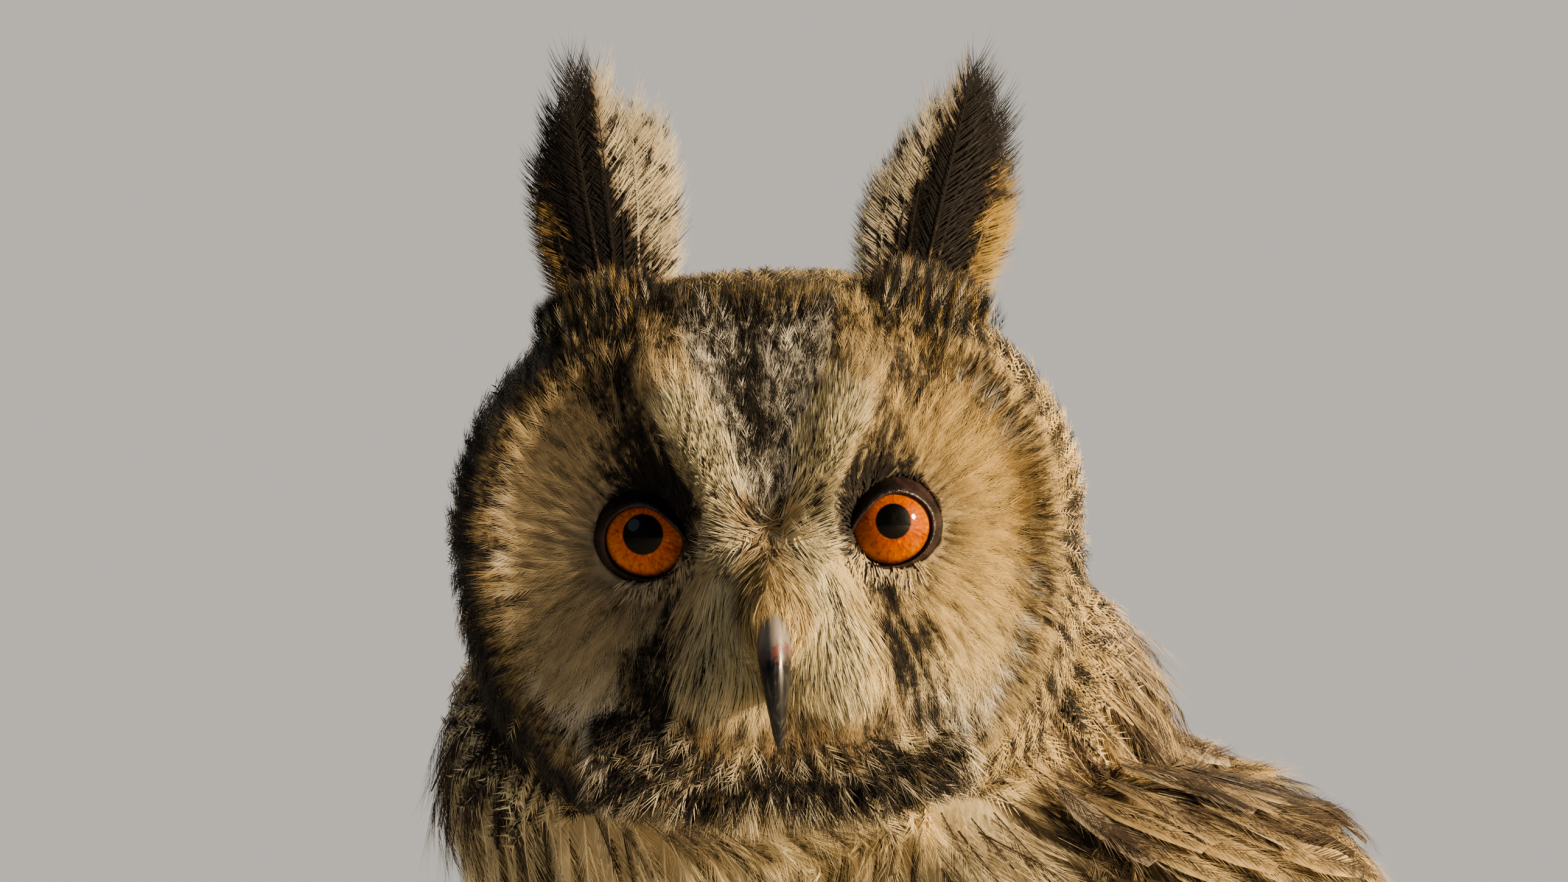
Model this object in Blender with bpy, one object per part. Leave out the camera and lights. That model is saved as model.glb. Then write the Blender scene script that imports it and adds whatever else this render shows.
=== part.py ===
"""A long-eared owl at life size, standing on both feet with its head turned.

Metres, +Z up. The face looks along -Y and the body is turned away from it, so the
head has a frame of its own and so has the body. The origin is in the middle of the
base of the whole bird, on the floor.
"""

import math
import random

import bmesh
import bpy
import numpy as np
from mathutils import Matrix, Vector

GAP = 0.0003
SEED = 7
FLAT_ANGLE = math.radians(1.5)

# The pose: how far the body turns from the face, and where the head sits over the feet
BODY_TURN = math.radians(-42)
HEAD_ROLL = math.radians(-3)
HEAD_PLACE = Vector((0, -0.060, 0.258))

# The head, from the middle between the pupils
HEAD_HALF_WIDTH = 0.0505
HEAD_TOP = 0.0407
HEAD_BOTTOM = 0.0500
HEAD_BACK = 0.044
CROWN_SQUARENESS = 2.2
JOWL_SQUARENESS = 2.45
RIM_SHARE = 0.91
RIM_ANGLE = math.radians(76)

# The collar of long feathers behind the face, which the head sits down into
COLLAR_PLACE = Vector((0.004, 0.015, -0.037))
COLLAR_SIZE = Vector((0.0615, 0.037, 0.038))

# The eyes and their lids
EYE_PLACE = Vector((0.0184, -0.0198, 0.0))
EYE_TURN = math.radians(8)
EYE_RADIUS = 0.0094
CORNEA_RADIUS = 0.0079
CORNEA_FORWARD = 0.0026
LID_INNER = EYE_RADIUS + 0.0008
LID_OUTER = LID_INNER + 0.0010
LID_HALF_WIDTH = 0.0067
LID_HALF_HEIGHT = 0.0059
LID_DROP = 0.0011
LID_TILT = math.radians(12)
LID_BACK = -0.0010
SOCKET_RADIUS = LID_OUTER + GAP

# The bill, as points (y, z, radius) on its middle line in the head's frame
BILL_LINE = [
    (-0.0270, -0.0085, 0.0058),
    (-0.0350, -0.0115, 0.0062),
    (-0.0412, -0.0160, 0.0056),
    (-0.0448, -0.0215, 0.0043),
    (-0.0455, -0.0275, 0.0029),
    (-0.0444, -0.0325, 0.0015),
    (-0.0434, -0.0350, 0.0004),
]
LOWER_BILL_LINE = [
    (-0.0270, -0.0185, 0.0050),
    (-0.0340, -0.0215, 0.0046),
    (-0.0385, -0.0250, 0.0034),
    (-0.0405, -0.0285, 0.0016),
    (-0.0408, -0.0300, 0.0006),
]
BILL_NARROWING = 0.58
NOSTRIL_PLACE = Vector((0.0034, -0.0385, -0.0128))
NOSTRIL_RADIUS = 0.0012

# The ear tufts: root and tip of each in the head's frame, and its feathers
TUFT_ROOTS = (Vector((-0.0220, 0.000, 0.0340)), Vector((0.0250, 0.000, 0.0330)))
TUFT_TIPS = (Vector((-0.0255, 0.007, 0.0805)), Vector((0.0375, 0.007, 0.0775)))
TUFT_FEATHERS = 7
TUFT_SPREAD = 0.0105
TUFT_FEATHER_HALF_WIDTH = 0.0058
TUFT_CORE = Vector((0.0085, 0.0024, 0.0110))

# The ruff: short stiff feathers round the rim of the face
RUFF_FEATHERS = 22
RUFF_LENGTH = 0.0090
RUFF_HALF_WIDTH = 0.0058

# Stations down the trunk: x, y, z, half width, depth to the back, depth to the belly
TRUNK = np.array(
    [
        (-0.008, -0.046, 0.238, 0.036, 0.032, 0.016),
        (-0.006, -0.040, 0.214, 0.053, 0.048, 0.028),
        (-0.001, -0.030, 0.190, 0.068, 0.056, 0.052),
        (0.000, -0.009, 0.158, 0.067, 0.051, 0.057),
        (0.000, 0.014, 0.128, 0.059, 0.043, 0.055),
        (0.000, 0.036, 0.100, 0.046, 0.033, 0.042),
        (0.000, 0.058, 0.079, 0.031, 0.022, 0.027),
        (0.000, 0.082, 0.063, 0.021, 0.013, 0.014),
    ]
)
TRUNK_SQUARENESS = 2.3

# The folded wing lies on this envelope, which leaves the trunk and runs out over the tail
WING_ENVELOPE = np.array(
    [
        *TRUNK[:6],
        (0.000, 0.061, 0.0800, 0.038, 0.024, 0.027),
        (0.000, 0.095, 0.0568, 0.031, 0.014, 0.014),
        (0.000, 0.132, 0.0330, 0.025, 0.0085, 0.009),
        (0.000, 0.170, 0.0095, 0.015, 0.0065, 0.006),
    ]
)
WRIST_STATION = 1.0
WING_END_STATION = 8.95
WING_RISE = 0.0007
WING_CORE_END = 0.52
VANE_THICKNESS = 0.0008
TAIL_VANE_THICKNESS = 0.00075
SHINGLE = 0.0017

# Tiers of wing feathers from the shoulder out: count, stations of the roots and of the
# longest and shortest tips, angles of the lowest and highest root and tip, rise at the tip
FLIGHT = (7, 3.4, 8.95, 6.2, (98, 32), (66, 14), 0.0002)
GREATER_COVERTS = (5, 2.7, 5.3, 4.6, (94, 38), (82, 30), 0.0034)
MEDIAN_COVERTS = (4, 2.0, 3.9, 3.4, (90, 46), (88, 40), 0.0042)
SCAPULARS = (3, 1.8, 4.6, 3.6, (34, 18), (27, 12), 0.0046)
LONGEST_FLIGHT = 1
WING_TIP_HALF_WIDTH = 0.0042

# The tail: a flat pack of feathers from the rump to the tips
TAIL_ROOT = Vector((0, 0.060, 0.0775))
TAIL_TIP = Vector((0, 0.165, 0.0110))
TAIL_ROOT_HALF_WIDTH = 0.013
TAIL_TIP_HALF_WIDTH = 0.027
TAIL_FEATHERS = 7
TAIL_FEATHER_HALF_WIDTH = 0.0095
TAIL_STEP = 0.0011
TAIL_COVERTS = 3
TAIL_THICKNESS = 0.0060

# The legs, for the owl's left side, in the body's frame
HIP = Vector((0.028, 0.010, 0.098))
ANKLE = Vector((0.024, 0.013, 0.042))
FOOT = Vector((0.0255, -0.002, 0.0085))
ANKLE_CUT = 0.046
FOOT_CUT = 0.0125
TOES = {
    "inner": (math.radians(-118), 0.0235),
    "middle": (math.radians(-80), 0.0265),
    "outer": (math.radians(6), 0.0225),
    "hind": (math.radians(118), 0.0185),
}
CLAW_LENGTH = 0.0118
CLAW_RADIUS = 0.0019

PLUMAGE = ("plumage", (0.46, 0.34, 0.20), 0.85, 0.0)
DARK_PLUMAGE = ("dark_plumage", (0.10, 0.075, 0.055), 0.8, 0.0)
LEG_PLUMAGE = ("leg_plumage", (0.62, 0.45, 0.25), 0.85, 0.0)
HORN = ("horn", (0.045, 0.045, 0.05), 0.3, 0.0)
EYE = ("eye", (0.85, 0.28, 0.02), 0.08, 0.0)
LID = ("lid", (0.035, 0.025, 0.025), 0.45, 0.0)

SIDES = {"left": 1, "right": -1}


def clear_scene():
    for thing in list(bpy.data.objects):
        bpy.data.objects.remove(thing)


def collection(name):
    made = bpy.data.collections.new(name)
    bpy.context.scene.collection.children.link(made)
    return made


def material(recipe):
    name, colour, roughness, metallic = recipe
    made = bpy.data.materials.get(name)
    if made is None:
        made = bpy.data.materials.new(name)
        made.use_nodes = True
        shader = made.node_tree.nodes["Principled BSDF"]
        shader.inputs["Base Color"].default_value = (*colour, 1)
        shader.inputs["Roughness"].default_value = roughness
        shader.inputs["Metallic"].default_value = metallic
    return made


def add(name, bm, recipe, place=None, smooth=True):
    """A bmesh as a named object of the bird, at the matrix place."""
    mesh = bpy.data.meshes.new(name)
    bm.to_mesh(mesh)
    bm.free()
    if smooth:
        mesh.shade_smooth()
    mesh.materials.append(material(recipe))
    made = bpy.data.objects.new(name, mesh)
    OWL.objects.link(made)
    if place is not None:
        made.matrix_world = place
    return made


def face_outward(bm):
    """Turns all faces of a closed mesh outward."""
    bmesh.ops.recalc_face_normals(bm, faces=bm.faces[:])
    if bm.calc_volume(signed=True) < 0:
        bmesh.ops.reverse_faces(bm, faces=bm.faces[:])


def apply_modifiers(thing):
    bpy.context.view_layer.update()
    graph = bpy.context.evaluated_depsgraph_get()
    mesh = bpy.data.meshes.new_from_object(thing.evaluated_get(graph))
    thing.modifiers.clear()
    thing.data = mesh


def combine(thing, operation, other, solver="EXACT", keep_other=False):
    """Cuts thing with other, joins them, or keeps what they share."""
    step = thing.modifiers.new(operation.lower(), "BOOLEAN")
    step.operation = operation
    step.solver = solver
    step.object = other
    apply_modifiers(thing)
    if not keep_other:
        bpy.data.objects.remove(other)


def clip(thing, point, normal):
    """Keeps the part of thing on the side that normal points to, closed by a flat face."""
    to_local = thing.matrix_world.inverted()
    bm = bmesh.new()
    bm.from_mesh(thing.data)
    cut = bmesh.ops.bisect_plane(
        bm,
        geom=bm.verts[:] + bm.edges[:] + bm.faces[:],
        plane_co=to_local @ point,
        plane_no=to_local.to_3x3() @ normal,
        clear_inner=True,
    )
    rim = [part for part in cut["geom_cut"] if isinstance(part, bmesh.types.BMEdge)]
    bmesh.ops.holes_fill(bm, edges=rim, sides=0)
    bm.to_mesh(thing.data)
    bm.free()
    keep_largest(thing)


def copy_of(thing, name):
    made = thing.copy()
    made.data = thing.data.copy()
    made.name = name
    OWL.objects.link(made)
    return made


def along(stations, t):
    """The row of sizes at t, counted in stations, on a smooth curve through them all."""
    last = len(stations) - 1
    t = min(max(t, 0.0), last)
    i = min(int(t), last - 1)
    f = t - i
    a, b, c, d = (stations[min(max(i + k, 0), last)] for k in (-1, 0, 1, 2))
    return b + 0.5 * f * (c - a + f * (2 * a - 5 * b + 4 * c - d + f * (3 * (b - c) + d - a)))


def head_outline(around):
    """The head's half size in this direction, seen from the front."""
    if math.sin(around) > 0:
        return superellipse(around, HEAD_HALF_WIDTH, HEAD_TOP, CROWN_SQUARENESS)
    return superellipse(around, HEAD_HALF_WIDTH, HEAD_BOTTOM, JOWL_SQUARENESS)


def superellipse(angle, first, second, power):
    """The radius at an angle of a rounded box with these half sizes."""
    c, s = abs(math.cos(angle)), abs(math.sin(angle))
    return ((c / first) ** power + (s / second) ** power) ** (-1 / power)


def on_body(stations, t, angle, rise, share=1.0):
    """A point on the body: angle 0 is the middle of the back, 90 degrees the left side."""
    x, y, z, half_width, back, belly = along(stations, t)
    run = along(stations, t + 0.1) - along(stations, t - 0.1)
    up = Vector((0, -run[2], run[1])).normalized()
    depth = back if math.cos(angle) > 0 else belly
    reach = superellipse(angle, depth, half_width, TRUNK_SQUARENESS) * share + rise
    centre = Vector((x, y, z))
    return centre + Vector((reach * math.sin(angle), 0, 0)) + up * (reach * math.cos(angle))


def trunk_form(name, rise=0.0):
    """Neck and torso in one closed form, larger all round by rise."""
    bm = bmesh.new()
    bmesh.ops.create_uvsphere(bm, u_segments=32, v_segments=22, radius=1)
    last = len(TRUNK) - 1
    for vert in bm.verts:
        run = -vert.co.z
        around = math.atan2(vert.co.x, vert.co.y)
        closing = math.sqrt(max(0.0, 1 - abs(run) ** 8))
        t = (run + 1) / 2 * last
        vert.co = on_body(TRUNK, t, around, rise * closing, closing)
        if abs(run) > 0.9999:
            vert.co += Vector((0, 0, -rise * run))
    return add(name, bm, PLUMAGE, BODY)


def bump(distance, width):
    return math.exp(-((distance / width) ** 2))


def distance_to_line(x, z, start, end):
    along_x, along_z = end[0] - start[0], end[1] - start[1]
    share = ((x - start[0]) * along_x + (z - start[1]) * along_z) / (along_x**2 + along_z**2)
    share = min(max(share, 0.0), 1.0)
    return math.hypot(x - start[0] - share * along_x, z - start[1] - share * along_z)


def face_depth(x, z, share):
    """How far the face stands in front of the head's middle, at a place seen from the front."""
    side = abs(x)
    depth = 0.0190 + 0.0150 * max(0.0, 1 - (side / 0.047) ** 2)
    depth -= 0.0115 * (max(0.0, z - 0.008) / 0.032) ** 2
    depth -= 0.0070 * (max(0.0, -z - 0.018) / 0.028) ** 2
    depth -= 0.0042 * bump(math.hypot(side - EYE_PLACE.x, z), 0.0165)
    depth += 0.0042 * bump(distance_to_line(side, z, (0.0045, -0.006), (0.0165, 0.024)), 0.0052)
    depth += 0.0040 * bump(distance_to_line(side, z, (0.0065, -0.012), (0.0105, -0.025)), 0.0075)
    return depth + 0.0030 * bump(share - RIM_SHARE, 0.055)


def head_form(name, rise=0.0):
    """The head as rings about the line of sight: two dished discs, their raised rim, and the back."""
    bm = bmesh.new()
    bmesh.ops.create_uvsphere(bm, u_segments=38, v_segments=24, radius=1)
    for vert in bm.verts:
        from_front = math.acos(min(max(vert.co.z, -1.0), 1.0))
        around = math.atan2(vert.co.y, vert.co.x)
        outline = head_outline(around) + rise
        if from_front <= RIM_ANGLE:
            share = RIM_SHARE * from_front / RIM_ANGLE
            x, z = outline * share * math.cos(around), outline * share * math.sin(around)
            vert.co = (x, -face_depth(x, z, share) - rise, z)
            continue
        back = (from_front - RIM_ANGLE) / (math.pi - RIM_ANGLE)
        if back < 0.2:
            share = RIM_SHARE + (1 - RIM_SHARE) * math.sin(back / 0.2 * math.pi / 2)
        else:
            share = math.cos((back - 0.2) / 0.8 * math.pi / 2) ** 0.85
        x, z = outline * share * math.cos(around), outline * share * math.sin(around)
        rim_x, rim_z = (outline * RIM_SHARE * f(around) for f in (math.cos, math.sin))
        rim_y = -face_depth(rim_x, rim_z, RIM_SHARE)
        y = rim_y + (HEAD_BACK + rise - rim_y) * math.sin(back * math.pi / 2) ** 1.1
        vert.co = (x, y, z)
    face_outward(bm)
    return add(name, bm, PLUMAGE, HEAD)


def collar_form(name, rise=0.0):
    bm = ball(1, 24, 14)
    size = COLLAR_SIZE + Vector((rise, rise, rise))
    bmesh.ops.scale(bm, verts=bm.verts, vec=size)
    bmesh.ops.translate(bm, verts=bm.verts, vec=COLLAR_PLACE)
    return add(name, bm, PLUMAGE, HEAD)


def ruff_feathers():
    """Short feathers that stand out from behind the rim all round the face but its top."""
    vanes = []
    for index in range(RUFF_FEATHERS):
        share = (index + 0.5) / RUFF_FEATHERS
        vanes.append(vane(2, 1, ruff_feather(math.radians(48 - 276 * share))))
    return vanes


def ruff_feather(around):
    def place(u, v, layer):
        reach = -0.0030 + RUFF_LENGTH * u
        width = RUFF_HALF_WIDTH * feather_width(u, 0.9)
        outline = head_outline(around)
        angle = around + v * width / outline
        outline = head_outline(angle) - 0.0012 + reach * 0.50
        depth = -0.0120 + reach * 0.8 + layer * VANE_THICKNESS + 0.0008 * v
        return Vector((outline * math.cos(angle), depth, outline * math.sin(angle)))

    return place


def eye_frame(side):
    """The middle of an eyeball, with its own -Y along the line of sight."""
    place = Vector((side * EYE_PLACE.x, EYE_PLACE.y, EYE_PLACE.z))
    return HEAD @ Matrix.Translation(place) @ Matrix.Rotation(side * EYE_TURN, 4, "Z")


def ball(radius, segments, rings):
    """A sphere with its poles along Y."""
    bm = bmesh.new()
    bmesh.ops.create_uvsphere(bm, u_segments=segments, v_segments=rings, radius=radius)
    bmesh.ops.rotate(bm, verts=bm.verts, matrix=Matrix.Rotation(math.pi / 2, 3, "X"))
    return bm


def make_eye(name, side):
    eye = add("eye_" + name, ball(EYE_RADIUS, 16, 8), EYE, eye_frame(side))
    bm = ball(CORNEA_RADIUS, 18, 10)
    bmesh.ops.translate(bm, verts=bm.verts, vec=(0, -CORNEA_FORWARD, 0))
    cornea = add("cornea", bm, EYE, eye_frame(side))
    combine(eye, "UNION", cornea)


def make_lids(name, side):
    """Both lids as one ring round the opening, a cup that the eyeball sits in."""
    lids = add("lids_" + name, ball(LID_OUTER, 18, 12), LID, eye_frame(side))
    inside = add("inside", ball(LID_INNER, 14, 10), LID, eye_frame(side))
    combine(lids, "DIFFERENCE", inside)
    bm = bmesh.new()
    bmesh.ops.create_cone(bm, cap_ends=True, segments=20, radius1=1, radius2=1, depth=0.03)
    opening = add("opening", bm, LID)
    opening.matrix_world = (
        eye_frame(side)
        @ Matrix.Translation((0, -0.015, -LID_DROP))
        @ Matrix.Rotation(side * LID_TILT, 4, "Y").inverted()
        @ Matrix.Rotation(math.pi / 2, 4, "X")
        @ Matrix.Diagonal((LID_HALF_WIDTH, LID_HALF_HEIGHT, 1, 1))
    )
    combine(lids, "DIFFERENCE", opening)
    bm = bmesh.new()
    bmesh.ops.create_cube(bm, size=0.03)
    front = Matrix.Translation((0, LID_BACK - 0.015, 0))
    combine(lids, "INTERSECT", add("front", bm, LID, eye_frame(side) @ front))
    keep_largest(lids)


def tapered_tube(name, points, radii, recipe, place, sides=3):
    """A closed tube through these points, as thick at each one as its radius says."""
    curve = bpy.data.curves.new(name, "CURVE")
    curve.dimensions = "3D"
    curve.bevel_depth = 1
    curve.bevel_resolution = sides
    curve.use_fill_caps = True
    spline = curve.splines.new("POLY")
    spline.points.add(len(points) - 1)
    for spot, point, radius in zip(spline.points, points, radii):
        spot.co = (*point, 1)
        spot.radius = radius
    guide = bpy.data.objects.new(name + "_line", curve)
    OWL.objects.link(guide)
    bpy.context.view_layer.update()
    graph = bpy.context.evaluated_depsgraph_get()
    mesh = bpy.data.meshes.new_from_object(guide.evaluated_get(graph))
    bpy.data.objects.remove(guide)
    bm = bmesh.new()
    bm.from_mesh(mesh)
    bmesh.ops.remove_doubles(bm, verts=bm.verts, dist=1e-6)
    face_outward(bm)
    return add(name, bm, recipe, place)


def finer(points, steps):
    """More points on a smooth curve through the given ones."""
    rows = np.array([tuple(point) for point in points], float)
    count = (len(rows) - 1) * steps
    return [along(rows, k / steps) for k in range(count + 1)]


def bill_half(name, line, rise=0.0):
    rows = finer(line, 2)
    points = [Vector((0, y, z)) for y, z, radius in rows]
    radii = [radius + rise for y, z, radius in rows]
    half = tapered_tube(name, points, radii, HORN, HEAD)
    half.data.transform(Matrix.Diagonal((BILL_NARROWING, 1, 1, 1)))
    return half


def make_bill(rooms):
    upper = bill_half("bill_upper", BILL_LINE)
    lower = bill_half("bill_lower", LOWER_BILL_LINE)
    combine(lower, "DIFFERENCE", bill_half("upper_room", BILL_LINE, GAP))
    for side in SIDES.values():
        place = Vector((side * NOSTRIL_PLACE.x, NOSTRIL_PLACE.y, NOSTRIL_PLACE.z))
        nostril = add("nostril", ball(NOSTRIL_RADIUS, 8, 6), HORN, HEAD @ Matrix.Translation(place))
        combine(upper, "DIFFERENCE", nostril)
    for half in (upper, lower):
        for room in rooms:
            combine(half, "DIFFERENCE", room, keep_other=True)
        keep_largest(half)


def keep_largest(thing):
    """Drops all but the largest closed surface of a mesh."""
    bm = bmesh.new()
    bm.from_mesh(thing.data)
    bmesh.ops.remove_doubles(bm, verts=bm.verts, dist=2e-6)
    bmesh.ops.triangulate(bm, faces=bm.faces[:])
    waiting, shells = set(bm.faces), []
    while waiting:
        front = [waiting.pop()]
        shell = list(front)
        while front:
            face = front.pop()
            for edge in face.edges:
                for other in edge.link_faces:
                    if other in waiting:
                        waiting.remove(other)
                        front.append(other)
                        shell.append(other)
        shells.append(shell)
    shells.sort(key=lambda shell: -volume_of(shell))
    for shell in shells[1:]:
        bmesh.ops.delete(bm, geom=shell, context="FACES")
    bm.to_mesh(thing.data)
    bm.free()


def merge_flats(thing):
    """Joins the small triangles that cutting leaves where a surface is flat."""
    bm = bmesh.new()
    bm.from_mesh(thing.data)
    bmesh.ops.dissolve_limit(
        bm, angle_limit=FLAT_ANGLE, verts=bm.verts[:], edges=bm.edges[:], delimit={"NORMAL"}
    )
    bmesh.ops.triangulate(bm, faces=bm.faces[:])
    bm.to_mesh(thing.data)
    bm.free()


def volume_of(faces):
    total = 0.0
    for face in faces:
        a, b, c = (vert.co for vert in face.verts)
        total += a.dot(b.cross(c)) / 6
    return total


def vane(steps_long, steps_wide, place):
    """A closed thin sheet, split into triangles alike on both faces.

    place gives the point for u from root 0 to tip 1, v from -1 to 1 across, layer 0 or 1.
    """
    bm = bmesh.new()
    bmesh.ops.create_grid(bm, x_segments=steps_long, y_segments=steps_wide, size=1)
    bmesh.ops.triangulate(bm, faces=bm.faces[:])
    bmesh.ops.solidify(bm, geom=bm.faces[:], thickness=1)
    for vert in bm.verts:
        u, v, height = vert.co
        vert.co = place((u + 1) / 2, v, 1 if abs(height) > 0.5 else 0)
    face_outward(bm)
    bmesh.ops.triangulate(bm, faces=bm.faces[:])
    return bm


def feather_width(u, root=0.75):
    """The share of its full width that a feather has at u, with a rounded tip."""
    return (root + (1 - root) * min(u * 2.5, 1)) * max(0.2, math.sqrt(max(0.0, 1 - u**5)))


def join_vanes(thing, vanes, place, recipe):
    """Fuses the feathers with the piece that they grow from."""
    group = collection(thing.name + "_vanes")
    for index, bm in enumerate(vanes):
        piece = add(f"{thing.name}_vane_{index}", bm, recipe, place)
        OWL.objects.unlink(piece)
        group.objects.link(piece)
    step = thing.modifiers.new("vanes", "BOOLEAN")
    step.operation = "UNION"
    step.operand_type = "COLLECTION"
    step.solver = "MANIFOLD"
    step.collection = group
    apply_modifiers(thing)
    for piece in list(group.objects):
        bpy.data.objects.remove(piece)
    bpy.data.collections.remove(group)
    keep_largest(thing)


def make_ear_tuft(name, index, head_room):
    """Feathers standing in a fan on a small core, dished a little towards the front."""
    root, tip = TUFT_ROOTS[index], TUFT_TIPS[index]
    bm = ball(1, 10, 6)
    bmesh.ops.scale(bm, verts=bm.verts, vec=TUFT_CORE)
    length = (tip - root).length
    lean = math.atan2(tip.x - root.x, tip.z - root.z)
    place = HEAD @ Matrix.Translation(root) @ Matrix.Rotation(lean, 4, "Y")
    place = place @ Matrix.Rotation(math.atan2(root.y - tip.y, length), 4, "X")
    tuft = add("ear_tuft_" + name, bm, DARK_PLUMAGE, place)
    vanes = []
    for feather in range(TUFT_FEATHERS):
        aside = 2 * feather / (TUFT_FEATHERS - 1) - 1
        reach = length * (1 - 0.30 * abs(aside) ** 2.2) * RANDOM.uniform(0.95, 1.0)
        vanes.append(vane(4, 2, tuft_feather(aside, reach, feather % 2)))
    join_vanes(tuft, vanes, place, DARK_PLUMAGE)
    combine(tuft, "DIFFERENCE", head_room, keep_other=True)
    keep_largest(tuft)


def tuft_feather(aside, reach, behind):
    start = -0.004

    def place(u, v, layer):
        width = TUFT_FEATHER_HALF_WIDTH * feather_width(u, 0.6)
        x = aside * (0.006 + (TUFT_SPREAD - 0.006) * math.sin(u * math.pi / 2)) + v * width
        cupped = 0.18 * abs(x) - 0.0006 * v * v
        y = cupped + 0.0011 * behind + layer * VANE_THICKNESS * (1.1 - 0.4 * u)
        return Vector((x, y - 0.0004, start + (reach - start) * u - 0.0012 * v * v * u))

    return place


def block(steps_long, steps_wide):
    """A box from -1 to 1 on each axis, with its long and wide edges divided."""
    bm = bmesh.new()
    bmesh.ops.create_cube(bm, size=2)
    for axis, steps in ((0, steps_long), (1, steps_wide)):
        edges = [e for e in bm.edges if abs(e.verts[0].co[axis] - e.verts[1].co[axis]) > 1.5]
        bmesh.ops.subdivide_edges(bm, edges=edges, cuts=steps - 1, use_grid_fill=True)
    return bm


def wing_edges(share):
    """The angles of the wing's upper and lower edge, seen round the body."""
    upper = math.radians(36 - 26 * share)
    lower = math.radians(108 - 22 * share)
    middle = 0.6 * lower + 0.4 * upper
    width = min(1.0, math.sqrt(max(share, 0) / 0.10))
    return middle + (upper - middle) * width, middle + (lower - middle) * width


def arm_height(t, angle):
    """How far the arm and hand stand off the body under a place on the wing."""
    share = (t - WRIST_STATION) / (WING_END_STATION - WRIST_STATION)
    upper, lower = wing_edges(share)
    across = 2 * (lower - angle) / (lower - upper) - 1
    swell = bump(share - 0.16, 0.24) * max(0.0, 1 - across**2)
    return WING_RISE + 0.0010 + 0.0072 * swell


def wing_core():
    """The arm and hand under the feathers: a smooth sheet that hugs the body."""
    bm = block(9, 5)
    for vert in bm.verts:
        run, across, layer = vert.co
        share = 0.015 + (WING_CORE_END - 0.015) * (run + 1) / 2
        t = WRIST_STATION + (WING_END_STATION - WRIST_STATION) * share
        upper, lower = wing_edges(share)
        angle = lower + (upper - lower) * (across + 1) / 2
        height = arm_height(t, angle) if layer > 0 else WING_RISE
        vert.co = on_body(WING_ENVELOPE, t, angle, height)
    face_outward(bm)
    bmesh.ops.triangulate(bm, faces=bm.faces[:])
    return bm


def wing_tier(tier, longest=0):
    """One row of overlapping feathers, from the lowest on the flank to the highest on the back."""
    count, root_t, long_t, short_t, roots, tips, rise = tier
    steps = max(2, round((long_t - root_t) * 0.8))
    spread = [math.radians(abs(high - low)) / (count - 1) for low, high in (roots, tips)]
    vanes = []
    for index in range(count):
        high = index / (count - 1)
        shorter = abs(index - longest) / (count - 1 - longest)
        if index < longest:
            shorter = 0.3 * (1 - index / longest)
        tip_t = long_t + (short_t - long_t) * shorter**1.15 + RANDOM.uniform(-0.05, 0.05)
        root_angle = math.radians(roots[0] + (roots[1] - roots[0]) * high)
        tip_angle = math.radians(tips[0] + (tips[1] - tips[0]) * high)
        vanes.append(vane(steps, 1, wing_feather(root_t, tip_t, root_angle, tip_angle, spread, rise)))
    return vanes


def wing_feather(root_t, tip_t, root_angle, tip_angle, spread, rise):
    def place(u, v, layer):
        t = root_t + (tip_t - root_t) * u
        girth = along(WING_ENVELOPE, t)[3:5].mean()
        half_spread = 0.64 * (spread[0] + (spread[1] - spread[0]) * u)
        width = max(half_spread, WING_TIP_HALF_WIDTH / girth) * feather_width(u)
        angle = root_angle + (tip_angle - root_angle) * u
        sunk = 0.0022 * max(0.0, 1 - u / 0.35)
        lift = arm_height(t, angle) + rise * u - sunk + SHINGLE * (v + 1) / 2
        height = max(WING_RISE, lift) + layer * VANE_THICKNESS * (1.1 - 0.4 * u)
        return on_body(WING_ENVELOPE, t, max(angle + v * width, math.radians(3)), height)

    return place


def make_wing(name, side, rooms):
    """The folded wing: an arm under tiers of feathers, each lying over the next one below it."""
    tiers = wing_tier(FLIGHT, LONGEST_FLIGHT)
    for tier in (GREATER_COVERTS, MEDIAN_COVERTS, SCAPULARS):
        tiers += wing_tier(tier)
    wing = add("wing_" + name, mirror(wing_core(), side), PLUMAGE, BODY)
    join_vanes(wing, [mirror(bm, side) for bm in tiers], BODY, PLUMAGE)
    for room in rooms:
        combine(wing, "DIFFERENCE", room, keep_other=True)
    keep_largest(wing)


def mirror(bm, side):
    """The same piece for the owl's right side where side is -1."""
    if side < 0:
        bmesh.ops.scale(bm, verts=bm.verts, vec=(-1, 1, 1))
        bmesh.ops.reverse_faces(bm, faces=bm.faces[:])
    return bm


def tail_form(name, rise=0.0):
    """The room that the tail's feathers fill together."""
    bm = block(8, 4)
    line, back, up = tail_axes()
    for vert in bm.verts:
        run, across, layer = vert.co
        share = (run + 1) / 2
        half = TAIL_ROOT_HALF_WIDTH + (TAIL_TIP_HALF_WIDTH - TAIL_ROOT_HALF_WIDTH) * share + rise
        spot = TAIL_ROOT + line * share + back * rise * run
        vert.co = spot + Vector((across * half, 0, 0)) + up * layer * (TAIL_THICKNESS / 2 + rise)
    face_outward(bm)
    bmesh.ops.triangulate(bm, faces=bm.faces[:])
    return add(name, bm, PLUMAGE, BODY)


def tail_axes():
    line = TAIL_TIP - TAIL_ROOT
    back = line.normalized()
    return line, back, Vector((0, -back.z, back.y))


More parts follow.
